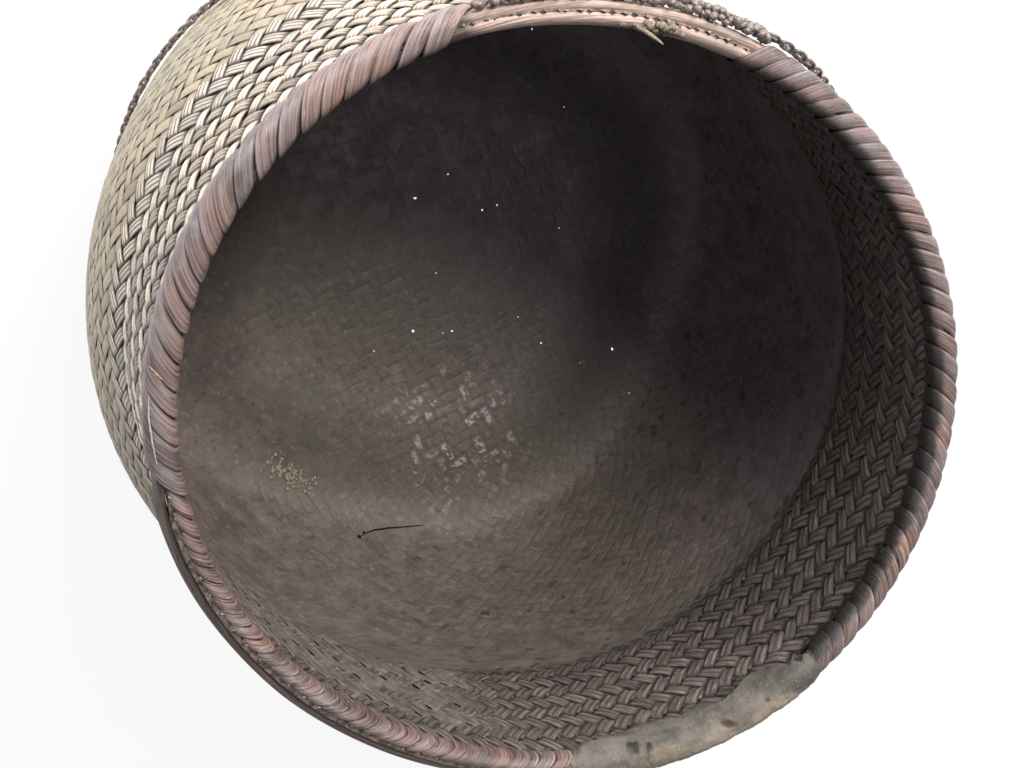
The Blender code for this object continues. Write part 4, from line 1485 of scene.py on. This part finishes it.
def seen_at(tree, across, down):
    """Where the picture's pixel falls on a surface, and the surface's normal there."""
    place, right, up, back = camera_place()
    focus = bpy.context.scene.basket_stage.lens / SENSOR * PICTURE[0]
    ray = right * (across - PICTURE[0] / 2) - up * (down - PICTURE[1] / 2) - back * focus
    found, normal, _, _ = tree.ray_cast(place, ray.normalized())
    if found is None:
        raise RuntimeError(f"nothing lies behind pixel {across}, {down}")
    return found, normal


def surface(piece):
    """Search tree of a piece."""
    return BVHTree.FromObject(piece, bpy.context.evaluated_depsgraph_get())


def scatter(name, tree, spots, size, flatness, seed):
    """Small crumbs resting on a surface, each placed by a pixel of the picture."""
    chance = random.Random(seed)
    shape_points, shape_faces = ball(1)
    points, faces = [], []
    for across, down in spots:
        found, normal = seen_at(tree, across, down)
        radius = size * chance.uniform(0.55, 1.3)
        turn = normal.to_track_quat("Z", "Y").to_matrix() @ Matrix.Rotation(chance.uniform(0, 6.2), 3, "Z")
        scale = Matrix.Diagonal((radius * chance.uniform(0.7, 1.6), radius, radius * flatness))
        rough = shape_points * np.array([[chance.uniform(0.7, 1.2)] for _ in shape_points])
        points.append(rough @ np.array(turn @ scale).T + np.array(found + normal * radius * flatness * 0.6))
        faces.append(shape_faces + len(faces) * len(shape_points))
    return mesh_piece(name, np.concatenate(points), np.concatenate(faces))


def sliver(name, line, widths):
    """A thin fibre along points, tapering to both ends."""
    curve = bpy.data.curves.new(name, "CURVE")
    curve.dimensions = "3D"
    curve.bevel_depth = 1.0
    curve.bevel_resolution = 1
    curve.use_fill_caps = True
    spline = curve.splines.new("POLY")
    spline.points.add(len(line) - 1)
    for knot, point, width in zip(spline.points, line, widths):
        knot.co = (*point, 1.0)
        knot.radius = width
    piece = bpy.data.objects.new(name, curve)
    bpy.context.scene.collection.objects.link(piece)
    take(piece)
    bpy.ops.object.convert(target="MESH")
    bpy.ops.object.shade_smooth()
    piece.select_set(False)
    return piece


def missed_by(tree, across, down):
    """Whether a pixel of the picture misses a surface."""
    try:
        seen_at(tree, across, down)
    except RuntimeError:
        return True
    return False


def laid_fibre(name, tree, pixels, width, lift):
    """A thin fibre that lies on a surface, along pixels of the picture."""
    line = []
    for across, down in pixels:
        found, normal = seen_at(tree, across, down)
        line.append(found + normal * lift)
    last = len(line) - 1
    shares = [min(max(step / last, 0.08), 0.92) for step in range(last + 1)]
    return sliver(name, line, [width * (0.35 + 0.65 * math.sin(math.pi * share)) for share in shares])


# Operators

class BASKET_OT_stage(Operator):
    """Set up the camera, the floor and the lamps."""
    bl_idname = "basket.stage"
    bl_label = "Stage"

    def execute(self, context):
        settings = context.scene.basket_stage
        place, right, up, back = camera_place()
        drop_selection()
        bpy.ops.object.camera_add(location=place)
        camera = context.object
        camera.name = "photo_camera"
        camera.rotation_euler = Matrix((right, up, back)).transposed().to_euler()
        camera.data.lens = settings.lens
        camera.data.sensor_width = SENSOR
        camera.data.clip_start = 0.01
        context.scene.camera = camera

        drop_selection()
        bpy.ops.mesh.primitive_plane_add(size=settings.floor_size)
        floor = context.object
        floor.name = "floor"
        made = Finish("floor_paper", roughness=0.9, specular=0.1)
        grain = made.noise(made.place(), scale=9.0, detail=3.0)
        made.done(made.mix(made.between(grain, 0.3, 0.7), (0.88, 0.885, 0.88), (0.92, 0.92, 0.915)))
        made.show_white(0.90)
        floor.data.materials.append(made.material)

        middle = Vector((0, 0, context.scene.basket_shape.height))
        lamps = (
            ("key_lamp", (0.42, 0.37, 0.92), 0.5, settings.key_power, (1.0, 0.965, 0.92)),
            ("top_lamp", (0.70, 0.84, 0.55), 0.5, settings.top_power, (1.0, 0.98, 0.95)),
            ("fill_lamp", (-0.75, 0.85, 0.80), 1.0, settings.fill_power, (0.96, 0.98, 1.0)),
        )
        for name, (aside, above, behind), size, power, colour in lamps:
            away = right * aside + up * above + back * behind
            drop_selection()
            bpy.ops.object.light_add(type="AREA", location=middle + away)
            lamp = context.object
            lamp.name = name
            lamp.rotation_euler = away.to_track_quat("Z", "Y").to_euler()
            lamp.data.shape = "DISK"
            lamp.data.size = size
            lamp.data.energy = power
            lamp.data.color = colour
        context.scene.world = soft_surround(settings.world_strength)
        context.scene.view_settings.view_transform = "Standard"
        return {"FINISHED"}


class BASKET_OT_plaiting(Operator):
    """Lay the strips of the wall and the base, and the coat of grime inside them."""
    bl_idname = "basket.plaiting"
    bl_label = "Plaiting"

    def execute(self, context):
        wall = Wall()
        count = context.scene.basket_plaiting.strips
        crossing = wall.crossing
        neck_cane = plaited_cane("neck_cane", tint_of_all=(1.52, 1.50, 1.66), dive=1.0, gap_shade_start=0.38,
                                 gap_shade_strength=0.98, ripple=0.60 * MM)
        belly_cane = plaited_cane("belly_cane", tint_of_all=(0.77, 0.755, 0.725), dive=0.40, gap_shade_start=0.80,
                                  gap_shade_strength=0.85, ripple=0.16 * MM)
        shape = context.scene.basket_shape
        change = np.interp(shape.neck_depth + 9 * MM, wall.drop[:len(crossing)], crossing)
        change = round(float(change) * 4) / 4
        first = 0.95
        runs = (("neck", (first, change), 4, RIDGED_SECTION, neck_cane, 60),
                ("belly", (change, wall.last_crossing), 3, FLAT_SECTION, belly_cane, 45))
        for leaning, side in ((1, "left"), (-1, "right")):
            for half in range(2):
                members = range(half * count // 2, (half + 1) * count // 2)
                for place, span, steps, section, cane, sharpest in runs:
                    name = f"{place}_strips_{side}_{half + 1}"
                    strips = lay_strips(name, wall, leaning, members, span, steps, section)
                    crease(strips, sharpest)
                    settle(strips, cane, ["woven_body"])
        base = lay_base(wall)
        crease(base, 45)
        settle(base, belly_cane, ["woven_body"])
        settle(make_core(wall), belly_grime(), ["woven_body"])
        return {"FINISHED"}


class BASKET_OT_hoops(Operator):
    """Make the two cane hoops and the strand ends between them."""
    bl_idname = "basket.hoops"
    bl_label = "Hoops and strand ends"

    def execute(self, context):
        cane = bare_cane()
        for side, flat_side, round_side, bottom, seed in HOOPS:
            section = hoop_section(flat_side * MM, round_side * MM, 0.80 * MM, bottom * MM)
            hoop = spun_ring(f"{side}_cane_hoop", section, 216)
            shape_hoop(hoop, side == "outer", seed)
            crease(hoop, 40)
            settle(hoop, cane, [f"{side}_hoop"])
        section = [(radius * MM, drop * MM) for radius, drop in STRAND_SECTION]
        ends = spun_ring("cut_strand_ends", section, 360)
        points = mesh_points(ends)
        angle = np.arctan2(points[:, 1], points[:, 0])
        radius = np.hypot(points[:, 0], points[:, 1])
        round_mouth = [Vector((math.cos(turn) * 60, math.sin(turn) * 60, 4.0)) for turn in angle]
        jag = 0.35 * MM * np.array([noise.noise(place) for place in round_mouth])
        drop = -points[:, 2]
        degrees = np.degrees(angle) % 360
        # In the sprung span the ends are pushed out into the gap under the outer hoop, where their dark
        # colour stands as painted shade.
        splayed = within(degrees, SPLAYED_ENDS, 6, 8) * (radius > 101.4 * MM)
        jag = jag * (1 - 0.8 * mark_bare(ends, degrees))
        set_points(ends, stand(angle, radius + 1.05 * MM * splayed, drop + np.where(drop < 3 * MM, jag, 0.0)))
        settle(ends, strand_ends(), ["strand_lip"])
        return {"FINISHED"}


class BASKET_OT_binding(Operator):
    """Wind the binding round the rim, where it is left."""
    bl_idname = "basket.binding"
    bl_label = "Binding"

    def execute(self, context):
        colours = context.scene.basket_finish
        main, rubbed = colours.binding, colours.copper
        broad = bound_strip("binding_strip", main, rubbed, gloss=0.30)
        sooty_and_shaded = bound_strip("sooty_binding_strip", shade(main, 1.07), shade(rubbed, 1.15), gloss=0.34)
        fine = bound_strip("fine_binding", shade(main, 0.9), shade(rubbed, 0.85), gloss=0.24)
        # Turns and seed, then the soot with painted shade, the rubbed copper, the pale edge and the fade
        lengths = (
            ("left", RIM_OUTLINE, LEFT_BINDING, 20, 3, 0.35, 0.85, 0.25, 0.45, broad),
            ("lower_left", INNER_OUTLINE, LOWER_LEFT_BINDING, 32, 4, 0.35, 0.5, 0.8, 0.0, fine),
            ("right_low", RIM_OUTLINE, RIGHT_LOW_BINDING, 17, 6, 0.93, 0.9, 0.3, 0.0, sooty_and_shaded),
            ("right_high", RIM_OUTLINE, RIGHT_HIGH_BINDING, 17, 8, 0.93, 0.55, 0.2, 0.0, sooty_and_shaded),
        )
        for place, outline, span, turns, seed, soot_and_shade, rub, lips, fade, material in lengths:
            strip = wind(f"bound_{place}", outline, span, turns, seed, soot_and_shade, rub, lips, fade)
            crease(strip, 50)
            settle(strip, material, [f"binding_{place}"])
        return {"FINISHED"}


class BASKET_OT_pitch(Operator):
    """Spread the coat of pitch."""
    bl_idname = "basket.pitch"
    bl_label = "Pitch coat"

    def execute(self, context):
        settle(make_pitch(), old_pitch(), ["pitch_coat"])
        return {"FINISHED"}


class BASKET_OT_cord(Operator):
    """Loop the cord round the belly and knot it on the rim."""
    bl_idname = "basket.cord"
    bl_label = "Cord and knots"

    def execute(self, context):
        fibre = bark_cord()
        settle(make_chain(), fibre, ["carrying_cord"])
        settle(make_knots(), fibre, ["carrying_cord"])
        return {"FINISHED"}


# Pixels of the picture that wear is placed by
PINHOLES = (
    (436, 273), (413, 331), (452, 331), (443, 333), (374, 351), (415, 198), (448, 174), (564, 107),
    (559, 228), (518, 317), (541, 343), (580, 363), (612, 349), (629, 393), (482, 210), (532, 29),
    (497, 205), (857, 327),
)
DEBRIS_PIXEL = (288, 474)
SLIT_PIXELS = ((358, 538), (364, 534), (374, 530), (388, 528), (404, 527), (424, 525))
SLIT_HOLES = ((359, 537), (364, 533))
SPLINTER_PIXEL = (636, 26)
DIRT_PIXEL = (650, 30)
TAN_FIBRES = (
    ((460, 14), (457, 22), (451, 29)),
    ((149, 366), (156, 373), (162, 379)),
    ((152, 374), (159, 378), (166, 386)),
)
PALE_FIBRE = ((149, 396), (149, 418), (152, 440), (157, 464))


class BASKET_OT_wear(Operator):
    """Add pinholes as glowing specks of painted light, crumbs, fibres, the painted shadow of a slit in the
    coat and a splinter.
    """
    bl_idname = "basket.wear"
    bl_label = "Wear"

    def execute(self, context):
        chance = random.Random(21)
        coat = surface(bpy.data.objects["grime_and_shade_core"])
        rim = surface(bpy.data.objects["bound_left"])
        hoop = surface(bpy.data.objects["inner_cane_hoop"])
        spots = []
        for _ in range(90):
            along = chance.gauss(0, 1)
            spots.append((DEBRIS_PIXEL[0] + 13 * along, DEBRIS_PIXEL[1] + 6 * along + chance.gauss(0, 6)))
        crumb = scatter("dry_crumbs", coat, spots, size=0.85 * MM, flatness=0.55, seed=3)
        settle(crumb, crumbs("dry_leaf", (0.30, 0.26, 0.19), 0.8))
        # Painted light: the pinholes are pale specks that glow a little, for the light seen through them.
        speck = scatter("pinholes", coat, PINHOLES, size=0.38 * MM, flatness=0.5, seed=4)
        light = crumbs("light_through_pinhole", (0.85, 0.85, 0.85), 0.9)
        shader = light.node_tree.nodes["Principled BSDF"]
        shader.inputs["Emission Color"].default_value = (1.0, 1.0, 1.0, 1.0)
        shader.inputs["Emission Strength"].default_value = 0.9
        settle(speck, light)
        # Painted shadow: the slit and its two holes are a dark fibre and dark crumbs laid on the coat.
        slit = laid_fibre("slit_shadow_in_coat", coat, SLIT_PIXELS, width=0.48 * MM, lift=-0.2 * MM)
        shadow = crumbs("slit_shadow", (0.006, 0.005, 0.004), 0.9)
        settle(slit, shadow)
        hole_shade = scatter("slit_hole_shadows", coat, SLIT_HOLES, size=0.8 * MM, flatness=0.3, seed=5)
        settle(hole_shade, shadow)
        spots = [(DIRT_PIXEL[0] + chance.gauss(0, 16), DIRT_PIXEL[1] + chance.gauss(0, 3)) for _ in range(70)]
        spots = [spot for spot in spots if not missed_by(hoop, *spot)]
        clod = scatter("dirt_on_hoop", hoop, spots, size=0.75 * MM, flatness=0.5, seed=8)
        settle(clod, crumbs("dried_dirt", (0.20, 0.165, 0.125), 0.85))
        _, right, up, _ = camera_place()
        start, _ = seen_at(hoop, *SPLINTER_PIXEL)
        line, widths = [], []
        for share, width in ((0, 0.7), (0.3, 0.6), (0.6, 0.5), (0.85, 0.35), (1, 0.1)):
            fall = share * 3.4 * MM + 0.8 * MM * share ** 2
            line.append(start + right * (share * 6.2 * MM) - up * fall)
            widths.append(width * MM)
        splinter = sliver("splinter", line, widths)
        settle(splinter, crumbs("dry_fibre", (0.22, 0.175, 0.125), 0.7))
        tan = crumbs("tan_fibre", (0.34, 0.24, 0.15), 0.6)
        for number, pixels in enumerate(TAN_FIBRES):
            name = f"tan_fibre_{number + 1}"
            fibre = laid_fibre(name, rim, pixels, width=0.24 * MM, lift=0.12 * MM)
            settle(fibre, tan)
        pale = laid_fibre("pale_fibre", rim, PALE_FIBRE, width=0.22 * MM, lift=0.12 * MM)
        settle(pale, crumbs("pale_strand", (0.42, 0.37, 0.31), 0.7))
        return {"FINISHED"}


class BASKET_PT_pieces(Panel):
    """Lists the operators that dress the basket."""
    bl_idname = "BASKET_PT_pieces"
    bl_label = "Plaited Basket"
    bl_space_type = "VIEW_3D"
    bl_region_type = "UI"
    bl_category = "Basket"

    def draw(self, context):
        for step in STEPS:
            self.layout.operator(step.bl_idname)


GROUPS = {
    "basket_shape": BasketShape,
    "basket_plaiting": BasketPlaiting,
    "basket_rim": BasketRim,
    "basket_finish": BasketFinish,
    "basket_stage": BasketStage,
}
STEPS = (
    BASKET_OT_stage, BASKET_OT_plaiting, BASKET_OT_hoops, BASKET_OT_binding, BASKET_OT_pitch,
    BASKET_OT_cord, BASKET_OT_wear,
)


def register():
    """Add the settings, the operators and the panel."""
    for name, group in GROUPS.items():
        bpy.utils.register_class(group)
        setattr(bpy.types.Scene, name, PointerProperty(type=group))
    for step in STEPS + (BASKET_PT_pieces,):
        bpy.utils.register_class(step)


def unregister():
    """Take them away again."""
    for step in STEPS + (BASKET_PT_pieces,):
        bpy.utils.unregister_class(step)
    for name, group in GROUPS.items():
        delattr(bpy.types.Scene, name)
        bpy.utils.unregister_class(group)


def main():
    """Dress the basket."""
    register()
    bpy.ops.basket.stage()
    bpy.ops.basket.plaiting()
    bpy.ops.basket.hoops()
    bpy.ops.basket.binding()
    bpy.ops.basket.pitch()
    bpy.ops.basket.cord()
    bpy.ops.basket.wear()
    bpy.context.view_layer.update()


if __name__ == "__main__":
    main()
